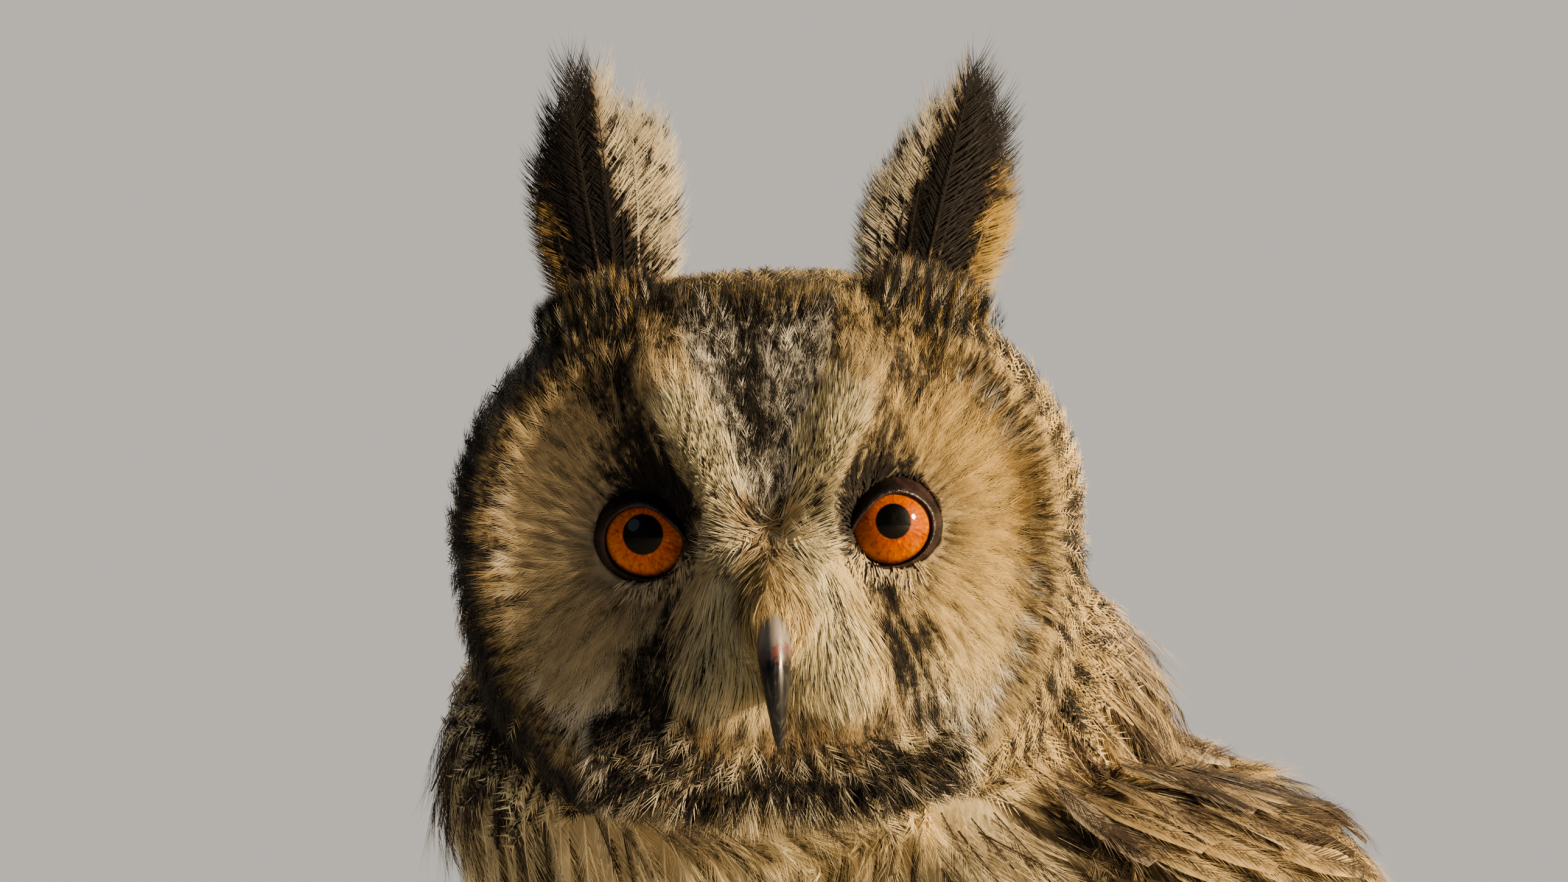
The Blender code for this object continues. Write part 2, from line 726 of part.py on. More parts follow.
def tail_feathers():
    """Tail feathers stacked with the middle ones on top, and coverts over their roots."""
    line = tail_axes()[0]
    vanes = []
    for index in range(TAIL_FEATHERS):
        aside = 2 * index / (TAIL_FEATHERS - 1) - 1
        reach = line.length * (1 - 0.10 * aside**2)
        layer = abs(index - (TAIL_FEATHERS - 0.9) / 2) - TAIL_FEATHERS / 4
        vanes.append(vane(3, 1, tail_feather(aside, 0.002, reach, -layer * TAIL_STEP)))
    for index in range(TAIL_COVERTS):
        aside = 1.2 * index / (TAIL_COVERTS - 1) - 0.6
        for height, reach in ((0.0034, 0.056), (-0.0046, 0.064)):
            reach *= 1 - 0.2 * abs(aside)
            vanes.append(vane(2, 1, tail_feather(aside, 0.002, reach, height)))
    return vanes


def tail_feather(aside, start, reach, height):
    line, back, up = tail_axes()

    def place(u, v, layer):
        y = start + (reach - start) * u
        share = y / line.length
        half = TAIL_ROOT_HALF_WIDTH + (TAIL_TIP_HALF_WIDTH - TAIL_ROOT_HALF_WIDTH) * share
        width = TAIL_FEATHER_HALF_WIDTH * feather_width(u, 0.7)
        x = aside * (half - TAIL_FEATHER_HALF_WIDTH) + v * width
        thick = (layer - 0.5) * TAIL_VANE_THICKNESS
        return TAIL_ROOT + back * y + up * (height + thick) + Vector((x, 0, 0))

    return place


def make_leg(name, side, trunk_room):
    """Thigh, shank and foot are one form with its claws, parted by thin level cuts."""
    mirror = Matrix.Diagonal((side, 1, 1, 1))
    points = [HIP, HIP.lerp(ANKLE, 0.5) + Vector((0.002, -0.006, 0)), ANKLE + Vector((0, 0, 0.006))]
    points += [ANKLE, ANKLE.lerp(FOOT, 0.5), FOOT, FOOT + Vector((0, 0, -0.003))]
    radii = [0.023, 0.0185, 0.0118, 0.0090, 0.0070, 0.0068, 0.0054]
    rows = finer([(*p, r) for p, r in zip(points, radii)], 2)
    centres, radii = [mirror @ Vector(row[:3]) for row in rows], [row[3] for row in rows]
    leg = tapered_tube("leg", centres, radii, LEG_PLUMAGE, BODY, sides=4)
    for toe, (heading, length) in TOES.items():
        make_toe(leg, name, side, toe, heading, length)
    combine(leg, "DIFFERENCE", trunk_room, keep_other=True)
    keep_largest(leg)
    up = Vector((0, 0, 1))
    thigh, shank = copy_of(leg, "thigh_" + name), copy_of(leg, "shank_" + name)
    leg.name = "foot_" + name
    clip(thigh, up * (ANKLE_CUT + GAP / 2), up)
    clip(shank, up * (ANKLE_CUT - GAP / 2), -up)
    clip(shank, up * (FOOT_CUT + GAP / 2), up)
    clip(leg, up * (FOOT_CUT - GAP / 2), -up)
    clip(leg, Vector(), up)


def toe_frame(side, heading):
    """The middle of the foot, with +X along the toe."""
    turn = heading if side > 0 else math.pi - heading
    middle = Vector((side * FOOT.x, FOOT.y, 0))
    return BODY @ Matrix.Translation(middle) @ Matrix.Rotation(turn, 4, "Z")


def make_toe(leg, name, side, toe, heading, length):
    place = toe_frame(side, heading)
    shape = [(0, 0.0085, 0.0056), (0.35, 0.0066, 0.0054), (0.7, 0.0043, 0.0050), (1, 0.0038, 0.0042)]
    rows = finer(shape, 1)
    points = [Vector(((length + 0.001) * run, 0, z)) for run, z, radius in rows]
    pad = tapered_tube("toe", points, [row[2] for row in rows], LEG_PLUMAGE, place)
    outward = place.to_3x3() @ Vector((1, 0, 0))
    toe_end = place @ Vector((length, 0, 0))
    clip(pad, toe_end, -outward)
    combine(leg, "UNION", pad)
    claw_line = [(0, 0.0046, 1), (0.3, 0.0054, 0.9), (0.62, 0.0042, 0.62), (1, 0.0009, 0.2)]
    rows = finer(claw_line, 2)
    start = length - 0.001
    points = [Vector((start + CLAW_LENGTH * run, 0, z)) for run, z, size in rows]
    radii = [CLAW_RADIUS * size for run, z, size in rows]
    claw = tapered_tube(f"claw_{name}_{toe}", points, radii, HORN, place, sides=2)
    clip(claw, toe_end + outward * GAP, outward)


def finish_surfaces():
    for thing in OWL.objects:
        if thing.name.startswith(("wing", "tail", "ear_tuft", "head", "neck", "torso")):
            merge_flats(thing)


def stand_on_origin():
    """Moves the bird so that the middle of its base is the origin."""
    bpy.context.view_layer.update()
    corners = [
        thing.matrix_world @ vert.co for thing in OWL.objects for vert in thing.data.vertices
    ]
    low = Vector(min(corner[axis] for corner in corners) for axis in range(3))
    high = Vector(max(corner[axis] for corner in corners) for axis in range(3))
    middle = (low + high) / 2
    owl = bpy.data.objects.new("owl", None)
    bpy.context.scene.collection.objects.link(owl)
    for thing in OWL.objects:
        thing.parent = owl
    owl.location = (-middle.x, -middle.y, 0)
    bpy.context.view_layer.update()


def build():
    trunk = trunk_form("trunk")
    trunk_room = trunk_form("trunk_room", GAP)
    head_room = head_form("head_room", GAP)
    tail_room = tail_form("tail_room", GAP)
    collar_room = collar_form("collar_room", GAP)
    combine(trunk, "UNION", collar_form("collar"))
    head_with_ruff = head_form("head_form")
    join_vanes(head_with_ruff, ruff_feathers(), HEAD, PLUMAGE)
    combine(trunk, "UNION", head_with_ruff)
    keep_largest(trunk)

    chin = HEAD @ Vector((0, -0.030, -0.0490))
    nape = HEAD @ Vector((0, 0.045, -0.0240))
    across = HEAD.to_3x3() @ Vector((1, 0, 0))
    head_up = across.cross(nape - chin).normalized()
    neck_up = BODY.to_3x3() @ Vector((0, -0.28, 1)).normalized()
    shoulder = BODY @ Vector((0, -0.045, 0.192))
    tail_line = (BODY.to_3x3() @ (TAIL_TIP - TAIL_ROOT)).normalized()
    rump = BODY @ TAIL_ROOT

    head, neck, tail = (copy_of(trunk, node) for node in ("head", "neck", "tail"))
    trunk.name = "torso"
    clip(head, chin + head_up * GAP / 2, head_up)
    clip(head, shoulder + neck_up * GAP / 2, neck_up)
    clip(neck, chin - head_up * GAP / 2, -head_up)
    clip(neck, shoulder + neck_up * GAP / 2, neck_up)
    clip(trunk, shoulder - neck_up * GAP / 2, -neck_up)
    clip(trunk, rump - tail_line * GAP / 2, -tail_line)
    clip(tail, rump + tail_line * GAP / 2, tail_line)

    for index, (name, side) in enumerate(reversed(SIDES.items())):
        socket = add("socket", ball(SOCKET_RADIUS, 20, 12), PLUMAGE, eye_frame(side))
        combine(head, "DIFFERENCE", socket)
        make_eye(name, side)
        make_lids(name, side)
        make_ear_tuft(name, index, head_room)
        make_wing(name, side, (trunk_room, collar_room, head_room, tail_room))
        make_leg(name, side, trunk_room)
    keep_largest(head)
    make_bill((head_room, trunk_room, collar_room))
    join_vanes(tail, tail_feathers(), BODY, PLUMAGE)
    for room in (trunk_room, collar_room, head_room, tail_room):
        bpy.data.objects.remove(room)
    finish_surfaces()
    stand_on_origin()


clear_scene()
RANDOM = random.Random(SEED)
OWL = collection("long_eared_owl")
BODY = Matrix.Rotation(BODY_TURN, 4, "Z")
HEAD = Matrix.Translation(BODY @ HEAD_PLACE) @ Matrix.Rotation(HEAD_ROLL, 4, "Y")
build()
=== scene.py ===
import math

import bmesh
import bpy
import numpy as np
from mathutils import Matrix, Vector
from mathutils.bvhtree import BVHTree


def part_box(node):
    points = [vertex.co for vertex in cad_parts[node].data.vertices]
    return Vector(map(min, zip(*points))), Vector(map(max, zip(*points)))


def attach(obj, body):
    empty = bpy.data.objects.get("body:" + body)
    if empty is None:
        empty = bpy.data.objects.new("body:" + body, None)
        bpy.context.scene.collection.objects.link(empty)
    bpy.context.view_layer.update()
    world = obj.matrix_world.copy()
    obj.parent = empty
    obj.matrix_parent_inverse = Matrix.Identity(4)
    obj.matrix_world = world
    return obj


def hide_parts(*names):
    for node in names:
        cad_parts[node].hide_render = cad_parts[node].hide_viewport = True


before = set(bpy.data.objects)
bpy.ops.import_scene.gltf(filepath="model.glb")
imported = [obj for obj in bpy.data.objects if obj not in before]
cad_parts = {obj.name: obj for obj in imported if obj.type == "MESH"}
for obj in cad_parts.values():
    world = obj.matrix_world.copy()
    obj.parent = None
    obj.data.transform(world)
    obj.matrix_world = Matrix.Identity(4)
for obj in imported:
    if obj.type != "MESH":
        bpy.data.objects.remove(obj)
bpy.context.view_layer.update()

RNG = np.random.default_rng(11)

# The owl's own forms, as its solids have them, in metres
BODY_TURN = math.radians(-42)
HEAD_ROLL = math.radians(-3)
HEAD_PLACE = Vector((0, -0.060, 0.258))
HEAD_HALF_WIDTH, HEAD_TOP, HEAD_BOTTOM, HEAD_BACK = 0.0505, 0.0407, 0.0500, 0.044
CROWN_SQUARENESS, JOWL_SQUARENESS = 2.2, 2.45
RIM_SHARE = 0.91
RIM_ANGLE = math.radians(76)
COLLAR_PLACE = np.array((0.004, 0.015, -0.037))
COLLAR_SIZE = np.array((0.0615, 0.037, 0.038))
EYE_PLACE = Vector((0.0184, -0.0198, 0.0))
EYE_TURN = math.radians(8)
EYE_RADIUS, CORNEA_RADIUS, CORNEA_FORWARD = 0.0094, 0.0079, 0.0026
SOCKET_RADIUS = 0.0099
LID_HALF_WIDTH, LID_HALF_HEIGHT, LID_DROP = 0.0067, 0.0059, 0.0011
LID_TILT = math.radians(12)
BILL_LINE = np.array([
    (-0.0270, -0.0085, 0.0058), (-0.0350, -0.0115, 0.0062), (-0.0412, -0.0160, 0.0056),
    (-0.0448, -0.0215, 0.0043), (-0.0455, -0.0275, 0.0029), (-0.0444, -0.0325, 0.0015),
    (-0.0434, -0.0350, 0.0004),
])
LOWER_BILL_LINE = np.array([
    (-0.0270, -0.0185, 0.0050), (-0.0340, -0.0215, 0.0046), (-0.0385, -0.0250, 0.0034),
    (-0.0405, -0.0285, 0.0016), (-0.0408, -0.0300, 0.0006),
])
BILL_NARROWING = 0.58
NOSTRIL_PLACE, NOSTRIL_SIZE = (0.0034, -0.0385, -0.0128), 0.0011
CERE_SKIN_END = -0.0200
TUFT_ROOTS = {"right": Vector((-0.0220, 0.000, 0.0340)), "left": Vector((0.0250, 0.000, 0.0330))}
TUFT_TIPS = {"right": Vector((-0.0255, 0.007, 0.0805)), "left": Vector((0.0375, 0.007, 0.0775))}

# Stations down the trunk: x, y, z, half width, depth to the back, depth to the belly
TRUNK = np.array([
    (-0.008, -0.046, 0.238, 0.036, 0.032, 0.016), (-0.006, -0.040, 0.214, 0.053, 0.048, 0.028),
    (-0.001, -0.030, 0.190, 0.068, 0.056, 0.052), (0.000, -0.009, 0.158, 0.067, 0.051, 0.057),
    (0.000, 0.014, 0.128, 0.059, 0.043, 0.055), (0.000, 0.036, 0.100, 0.046, 0.033, 0.042),
    (0.000, 0.058, 0.079, 0.031, 0.022, 0.027), (0.000, 0.082, 0.063, 0.021, 0.013, 0.014),
])
TRUNK_SQUARENESS = 2.3
WING_ENVELOPE = np.array([
    *TRUNK[:6],
    (0.000, 0.061, 0.0800, 0.038, 0.024, 0.027), (0.000, 0.095, 0.0568, 0.031, 0.014, 0.014),
    (0.000, 0.132, 0.0330, 0.025, 0.0085, 0.009), (0.000, 0.170, 0.0095, 0.015, 0.0065, 0.006),
])
WRIST_STATION, WING_END_STATION = 1.0, 8.95
TAIL_ROOT, TAIL_TIP = np.array((0, 0.060, 0.0775)), np.array((0, 0.165, 0.0110))
TAIL_ROOT_HALF_WIDTH, TAIL_TIP_HALF_WIDTH, TAIL_FEATHER_WIDTH = 0.013, 0.027, 0.0085
HIP, ANKLE = np.array((0.028, 0.010, 0.098)), np.array((0.024, 0.013, 0.042))
FOOT = np.array((0.0255, -0.002, 0.0085))
LEG_RADII = (0.023, 0.0185, 0.0118, 0.0090, 0.0070, 0.0068, 0.0054)
TOES = {
    "inner": (math.radians(-118), 0.0235), "middle": (math.radians(-80), 0.0265),
    "outer": (math.radians(6), 0.0225), "hind": (math.radians(118), 0.0185),
}
TOE_SHAPE = ((0, 0.0085, 0.0056), (0.35, 0.0066, 0.0054), (0.7, 0.0043, 0.0050), (1, 0.0038, 0.0042))
CLAW_LENGTH, CLAW_RADIUS = 0.0118, 0.0019
CLAW_SHAPE = (
    (-0.12, 0.0044, 0.8), (0.1, 0.0050, 1), (0.35, 0.0054, 0.88), (0.65, 0.0042, 0.6), (1, 0.0009, 0.15),
)
SIDES = {"left": 1, "right": -1}

# How far the skin lies inside the solids, under the depth of the coat
HEAD_DEPTH, BODY_DEPTH, LEG_DEPTH, TOE_DEPTH = 0.0020, 0.0060, 0.0025, 0.0012
COLLAR_DEPTH = np.array((0.0040, 0.0080, -0.0030))
ARM_DEPTH = 0.0020
CERE_END, CERE_RISE = 2.35, 0.0004
SKIN_VOXEL = 0.0014

# Colours of the plumage, the bare parts and the floor
BUFF = (0.60, 0.46, 0.23)
GOLD = (0.66, 0.45, 0.16)
DEEP_GOLD = (0.35, 0.24, 0.072)
STRAW = (0.90, 0.74, 0.45)
CREAM = (0.70, 0.63, 0.42)
PALE = (0.54, 0.47, 0.33)
WHITE = (0.92, 0.89, 0.80)
TAN = (0.42, 0.30, 0.15)
BROWN = (0.16, 0.095, 0.05)
GREY = (0.40, 0.36, 0.30)
DUSTY = (0.25, 0.20, 0.13)
OCHRE = (0.46, 0.34, 0.17)
BLACK = (0.014, 0.011, 0.009)
UMBER = (0.045, 0.029, 0.018)
CERE_SKIN, CERE_FLUSH = (0.25, 0.225, 0.20), (0.16, 0.050, 0.042)
IRIS_TONES = (0.62, 0.125, 0.0002), (0.68, 0.190, 0.0003), (0.32, 0.045, 0.0002), (0.90, 0.40, 0.002)
IRIS_EDGE, PUPIL_BLACK = (0.05, 0.012, 0.002), (0.001, 0.001, 0.001)
LID_TONES = (0.012, 0.009, 0.009), (0.045, 0.024, 0.024)
FLOOR_TONES = (0.60, 0.58, 0.55), (0.66, 0.64, 0.61)

# The size of a tuft's place on the bake map, and how far off the floor the coat stays
PATCH, CLEAR_OF_FLOOR = 0.003, 0.0003
# The left eye and the half sizes of the bare skin round it, in millimetres seen from the front
EYE_SEEN, BARE_SKIN = (19.3, -0.9), (8.3, 7.4)
STREAKED_SHARE = 0.6
# How many roots each patch of small feathers is sown with, and how close these may stand
SOWN = {
    "forehead": (5200, None), "chin": (2300, None), "rim": (4200, None), "nape": (4200, 0.0022),
    "neck": (9000, 0.0024), "body": (9000, 0.0042), "legs": (3600, None), "tuft": (1500, None),
}
DISC_FEATHERS, DISC_SHAPES = 6400, 4
TUFT_LAYERS, TUFT_FEATHERS = 9, 7
# Where a tuft's pale edge starts at its foot, how far up it reaches, and how strong its gold is
TUFT_MARKS = {"right": (0.0100, 0.55, 0.6), "left": (0.0078, 0.80, 1.0)}
# The camera: sensor in millimetres, distance to the face and width seen there in metres
SENSOR_WIDTH, CAMERA_DISTANCE, SEEN_WIDTH = 36, 2.8, 0.250
MM = 1000


# Places and frames
def head_and_body():
    """The head's and the body's own frames, found from where the eyes are."""
    boxes = [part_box("eye_left"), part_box("eye_right")]
    x = sum(low[0] + high[0] for low, high in boxes) / 4
    z = sum(low[2] + high[2] for low, high in boxes) / 4
    y = sum(high[1] for low, high in boxes) / 2 - EYE_RADIUS - EYE_PLACE.y
    between = Vector((x, y, z))
    turn = Matrix.Rotation(BODY_TURN, 4, "Z")
    head = Matrix.Translation(between) @ Matrix.Rotation(HEAD_ROLL, 4, "Y")
    return head, Matrix.Translation(between - turn @ HEAD_PLACE) @ turn


HEAD, BODY = head_and_body()


def placed(matrix, points):
    """Points of a frame as points of the whole owl."""
    matrix = np.array(matrix)
    return points @ matrix[:3, :3].T + matrix[:3, 3]


def turned(matrix, arrows):
    return arrows @ np.array(matrix)[:3, :3].T


def local(matrix, points):
    return placed(matrix.inverted(), points)


def on_face(points):
    """Places in the head's own frame, in millimetres: x to the owl's left, y to the back, z up."""
    return (local(HEAD, points) * MM).T


def joined(x, y, z):
    """Rows of three from their parts, each a number or an array."""
    return np.stack(np.broadcast_arrays(x, y, z), -1)


def unit(arrows):
    """The same arrows, each one long."""
    return arrows / np.maximum(np.linalg.norm(arrows, axis=-1, keepdims=True), 1e-12)


def smooth_step(low, high, value):
    share = np.clip((value - low) / (high - low), 0, 1)
    return share * share * (3 - 2 * share)


def along(stations, t):
    """The row of sizes at t, counted in stations, on a smooth curve through them all."""
    last = len(stations) - 1
    t = np.clip(t, 0, last)
    i = np.minimum(t.astype(int), last - 1)
    f = (t - i)[..., None]
    a, b, c, d = (stations[np.clip(i + k, 0, last)] for k in (-1, 0, 1, 2))
    return b + 0.5 * f * (c - a + f * (2 * a - 5 * b + 4 * c - d + f * (3 * (b - c) + d - a)))


def superellipse(angle, first, second, power):
    """The radius at an angle of a rounded box with these half sizes."""
    c, s = np.abs(np.cos(angle)), np.abs(np.sin(angle))
    return ((c / first) ** power + (s / second) ** power) ** (-1 / power)


def head_outline(around):
    crown = superellipse(around, HEAD_HALF_WIDTH, HEAD_TOP, CROWN_SQUARENESS)
    jowl = superellipse(around, HEAD_HALF_WIDTH, HEAD_BOTTOM, JOWL_SQUARENESS)
    return np.where(np.sin(around) > 0, crown, jowl)


def bump(distance, width, power=2):
    """1 in the middle and near 0 well past the width, with a flatter top for a higher power."""
    return np.exp(-((distance / width) ** power))


def line_distance(x, z, start, end):
    run_x, run_z = end[0] - start[0], end[1] - start[1]
    share = ((x - start[0]) * run_x + (z - start[1]) * run_z) / (run_x**2 + run_z**2)
    share = np.clip(share, 0, 1)
    return np.hypot(x - start[0] - share * run_x, z - start[1] - share * run_z)


def face_depth(x, z, share):
    """How far the face stands in front of the head's middle, at a place seen from the front."""
    side = np.abs(x)
    depth = 0.0190 + 0.0150 * np.maximum(0, 1 - (side / 0.047) ** 2)
    depth -= 0.0115 * (np.maximum(0, z - 0.008) / 0.032) ** 2
    depth -= 0.0070 * (np.maximum(0, -z - 0.018) / 0.028) ** 2
    depth -= 0.0042 * bump(np.hypot(side - EYE_PLACE.x, z), 0.0165)
    depth += 0.0042 * bump(line_distance(side, z, (0.0045, -0.006), (0.0165, 0.024)), 0.0052)
    depth += 0.0040 * bump(line_distance(side, z, (0.0065, -0.012), (0.0105, -0.025)), 0.0075)
    return depth + 0.0030 * bump(share - RIM_SHARE, 0.055)


def on_head(from_front, around, rise):
    outline = head_outline(around) + rise
    back = np.clip((from_front - RIM_ANGLE) / (math.pi - RIM_ANGLE), 0, 1)
    over_rim = RIM_SHARE + (1 - RIM_SHARE) * np.sin(np.minimum(back / 0.2, 1) * math.pi / 2)
    behind = np.cos(np.clip((back - 0.2) / 0.8, 0, 1) * math.pi / 2) ** 0.85
    share = np.where(back < 0.2, over_rim, behind)
    share = np.where(from_front <= RIM_ANGLE, RIM_SHARE * from_front / RIM_ANGLE, share)
    x, z = outline * share * np.cos(around), outline * share * np.sin(around)
    rim_x, rim_z = outline * RIM_SHARE * np.cos(around), outline * RIM_SHARE * np.sin(around)
    rim_y = -face_depth(rim_x, rim_z, RIM_SHARE)
    y = rim_y + (HEAD_BACK + rise - rim_y) * np.sin(back * math.pi / 2) ** 1.1
    return np.stack([x, np.where(from_front <= RIM_ANGLE, -face_depth(x, z, share) - rise, y), z], -1)


def on_body(stations, t, angle, rise=0.0, share=1.0):
    """A point on the body: angle 0 is the middle of the back, a quarter turn is the left side."""
    x, y, z, half_width, back, belly = np.moveaxis(along(stations, t), -1, 0)
    run = along(stations, t + 0.1) - along(stations, t - 0.1)
    up = unit(joined(0, -run[..., 2], run[..., 1]))
    depth = np.where(np.cos(angle) > 0, back, belly)
    reach = superellipse(angle, depth, half_width, TRUNK_SQUARENESS) * share + rise
    aside = (reach * np.sin(angle))[..., None] * np.array((1.0, 0, 0))
    return np.stack([x, y, z], -1) + aside + (reach * np.cos(angle))[..., None] * up


def wing_edges(share):
    upper, lower = np.radians(36 - 26 * share), np.radians(108 - 22 * share)
    middle = 0.6 * lower + 0.4 * upper
    width = np.minimum(1.0, np.sqrt(np.maximum(share, 0) / 0.10))
    return middle + (upper - middle) * width, middle + (lower - middle) * width


def wing_station(share):
    """The station along the body at a share of the wing's length."""
    return WRIST_STATION + (WING_END_STATION - WRIST_STATION) * share


def wing_share(t):
    return (t - WRIST_STATION) / (WING_END_STATION - WRIST_STATION)


def arm_height(t, angle):
    share = wing_share(t)
    upper, lower = wing_edges(share)
    across = 2 * (lower - angle) / (lower - upper) - 1
    return 0.0017 + 0.0072 * bump(share - 0.16, 0.24) * np.maximum(0, 1 - across**2)


def body_station(points):
    """Where places lie on the body: their station along it and their angle round it."""
    place = local(BODY, points)
    t = np.linspace(0, len(WING_ENVELOPE) - 1.02, 120)
    centres = along(WING_ENVELOPE, t)[:, :3]
    runs = unit((along(WING_ENVELOPE, t + 0.1) - along(WING_ENVELOPE, t - 0.1))[:, :3])
    off = np.abs(place @ runs.T - (centres * runs).sum(1))
    off += 0.35 * np.linalg.norm(place[:, None] - centres[None], axis=2)
    picked = off.argmin(1)
    rest = place - centres[picked]
    up = joined(0, -runs[picked, 2], runs[picked, 1])
    return t[picked], np.arctan2(rest[:, 0], (rest * up).sum(1))


# Mesh tools
def collection_of_pieces():
    made = bpy.data.collections.new("owl_pieces")
    bpy.context.scene.collection.children.link(made)
    return made


PIECES = collection_of_pieces()


def shaped_grid(columns, rows, shape):
    """A grid whose points are moved by shape, which takes their places across and up, from -1 to 1."""
    bm = bmesh.new()
    bmesh.ops.create_grid(bm, x_segments=columns, y_segments=rows, size=1)
    spots = shape(*np.array([vert.co[:2] for vert in bm.verts]).T)
    for vert, spot in zip(bm.verts, spots):
        vert.co = spot
    return bm


def shaped_ball(segments, rings, shape):
    """A grid rolled up to a closed ball, whose points are moved by shape, which takes the unit ball's."""
    def rolled(across, up):
        around, height = across * math.pi, up * math.pi / 2
        flat = np.cos(height)
        return shape(joined(flat * np.cos(around), flat * np.sin(around), np.sin(height)))

    bm = shaped_grid(segments, rings, rolled)
    bmesh.ops.remove_doubles(bm, verts=bm.verts, dist=1e-7)
    if bm.calc_volume(signed=True) < 0:
        bmesh.ops.reverse_faces(bm, faces=bm.faces[:])
    return bm


def thing_of(mesh, name):
    mesh.shade_smooth()
    made = bpy.data.objects.new(name, mesh)
    PIECES.objects.link(made)
    return made


def thing_from(bm, name):
    mesh = bpy.data.meshes.new(name)
    bm.to_mesh(mesh)
    bm.free()
    return thing_of(mesh, name)


def finished(piece, slot, material, *nodes):
    """Rides a piece on the owl in place of these solids."""
    piece.data.materials.clear()
    piece.data.materials.append(material)
    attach(piece, "root")
    if nodes:
        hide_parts(*nodes)


def modify(thing, kind, **settings):
    step = thing.modifiers.new(kind.lower(), kind)
    for key, value in settings.items():
        setattr(step, key, value)


def apply_modifiers(thing):
    bpy.context.view_layer.update()
    graph = bpy.context.evaluated_depsgraph_get()
    mesh = bpy.data.meshes.new_from_object(thing.evaluated_get(graph))
    thing.modifiers.clear()
    thing.data = mesh


def read(items, key, kind=float):
    """A property of three values of many mesh items, in rows."""
    values = np.empty(len(items) * 3, kind)
    items.foreach_get(key, values)
    return values.reshape(-1, 3)


def write(items, key, values, kind=np.float32):
    items.foreach_set(key, values.astype(kind).ravel())


def tint(mesh, tints):
    """Sets the colour at each point of a mesh, with the share of dark as its alpha."""
    mesh.color_attributes.new("tint", "FLOAT_COLOR", "POINT")
    write(mesh.color_attributes["tint"].data, "color", tints)


def tube_frame(rows, ball, reference, power):
    """Where the points of a ball lie on a tube through rows: angle, middle, reach, way ahead and up."""
    run = -ball[:, 2]
    closing = np.sqrt(np.maximum(0, 1 - np.abs(run) ** power))
    t = (run + 1) / 2 * (len(rows) - 1)
    spot = along(rows, t)
    ahead = unit((along(rows, t + 0.05) - along(rows, t - 0.05))[:, :3])
    up = unit(np.cross(ahead, np.array(reference)))
    around = np.arctan2(ball[:, 1], ball[:, 0])[:, None]
    return around, spot[:, :3], (spot[:, 3] * closing)[:, None], ahead, up


def tube_shape(rows, matrix, narrow=1.0, reference=(1.0, 0, 0)):
    """A closed tube through rows of x, y, z, radius, as a shape for shaped_ball."""
    rows = np.array(rows, float)

    def shape(ball):
        around, middle, reach, ahead, up = tube_frame(rows, ball, reference, 6)
        side = np.cross(up, ahead)
        return placed(matrix, middle + reach * (np.cos(around) * side * narrow + np.sin(around) * up))

    return shape


def leg_rows(side, rise):
    points = [HIP, (HIP + ANKLE) / 2 + (0.002, -0.006, 0), ANKLE + (0, 0, 0.006)]
    points += [ANKLE, (ANKLE + FOOT) / 2, FOOT, FOOT - (0, 0, 0.003)]
    return [(side * p[0], p[1], p[2], radius + rise) for p, radius in zip(points, LEG_RADII)]


def toe_frame(side, heading):
    turn = heading if side > 0 else math.pi - heading
    middle = Vector((side * FOOT[0], FOOT[1], 0))
    return BODY @ Matrix.Translation(middle) @ Matrix.Rotation(turn, 4, "Z")


def skin_forms():
    """The flesh of the owl as closed forms that overlap."""
    def head(ball):
        from_front, around = np.arccos(np.clip(ball[:, 2], -1, 1)), np.arctan2(ball[:, 1], ball[:, 0])
        return placed(HEAD, on_head(from_front, around, -HEAD_DEPTH))

    def trunk(ball):
        run = -ball[:, 2]
        around = np.arctan2(ball[:, 0], ball[:, 1])
        closing = np.sqrt(np.maximum(0, 1 - np.abs(run) ** 8))
        t = (run + 1) / 2 * (len(TRUNK) - 1)
        return placed(BODY, on_body(TRUNK, t, around, -BODY_DEPTH * closing, closing))

    def collar(ball):
        return placed(HEAD, COLLAR_PLACE + ball * (COLLAR_SIZE - COLLAR_DEPTH))

    def arm(ball):
        share = 0.26 + 0.25 * np.sign(-ball[:, 2]) * np.abs(ball[:, 2]) ** 0.85
        t = wing_station(share)
        upper, lower = wing_edges(share)
        angle = (upper + lower) / 2 + (lower - upper) / 2 * ball[:, 0]
        height = np.where(ball[:, 1] > 0, arm_height(t, angle) - ARM_DEPTH, -0.008)
        points = on_body(WING_ENVELOPE, t, angle, height * np.abs(ball[:, 1]) ** 0.4)
        return placed(BODY, points * (side, 1, 1))

    yield shaped_ball(96, 72, head)
    t = np.linspace(0, CERE_END, 5)
    cere = [(0, y, z, radius + CERE_RISE) for y, z, radius in along(BILL_LINE, t)]
    yield shaped_ball(24, 16, tube_shape(cere, HEAD, BILL_NARROWING + 0.1))
    yield shaped_ball(64, 56, trunk)
    yield shaped_ball(48, 32, collar)
    for side in SIDES.values():
        yield shaped_ball(48, 48, arm)
        yield shaped_ball(24, 24, tube_shape(leg_rows(side, -LEG_DEPTH), BODY))
        for heading, length in TOES.values():
            rows = [(length * run, 0, z, radius - TOE_DEPTH) for run, z, radius in TOE_SHAPE]
            yield shaped_ball(16, 12, tube_shape(rows, toe_frame(side, heading), reference=(0, 1.0, 0)))


def eye_frame(side):
    """The middle of an eyeball, with its own -Y along the line of sight."""
    place = Vector((side * EYE_PLACE.x, EYE_PLACE.y, EYE_PLACE.z))
    return HEAD @ Matrix.Translation(place) @ Matrix.Rotation(side * EYE_TURN, 4, "Z")


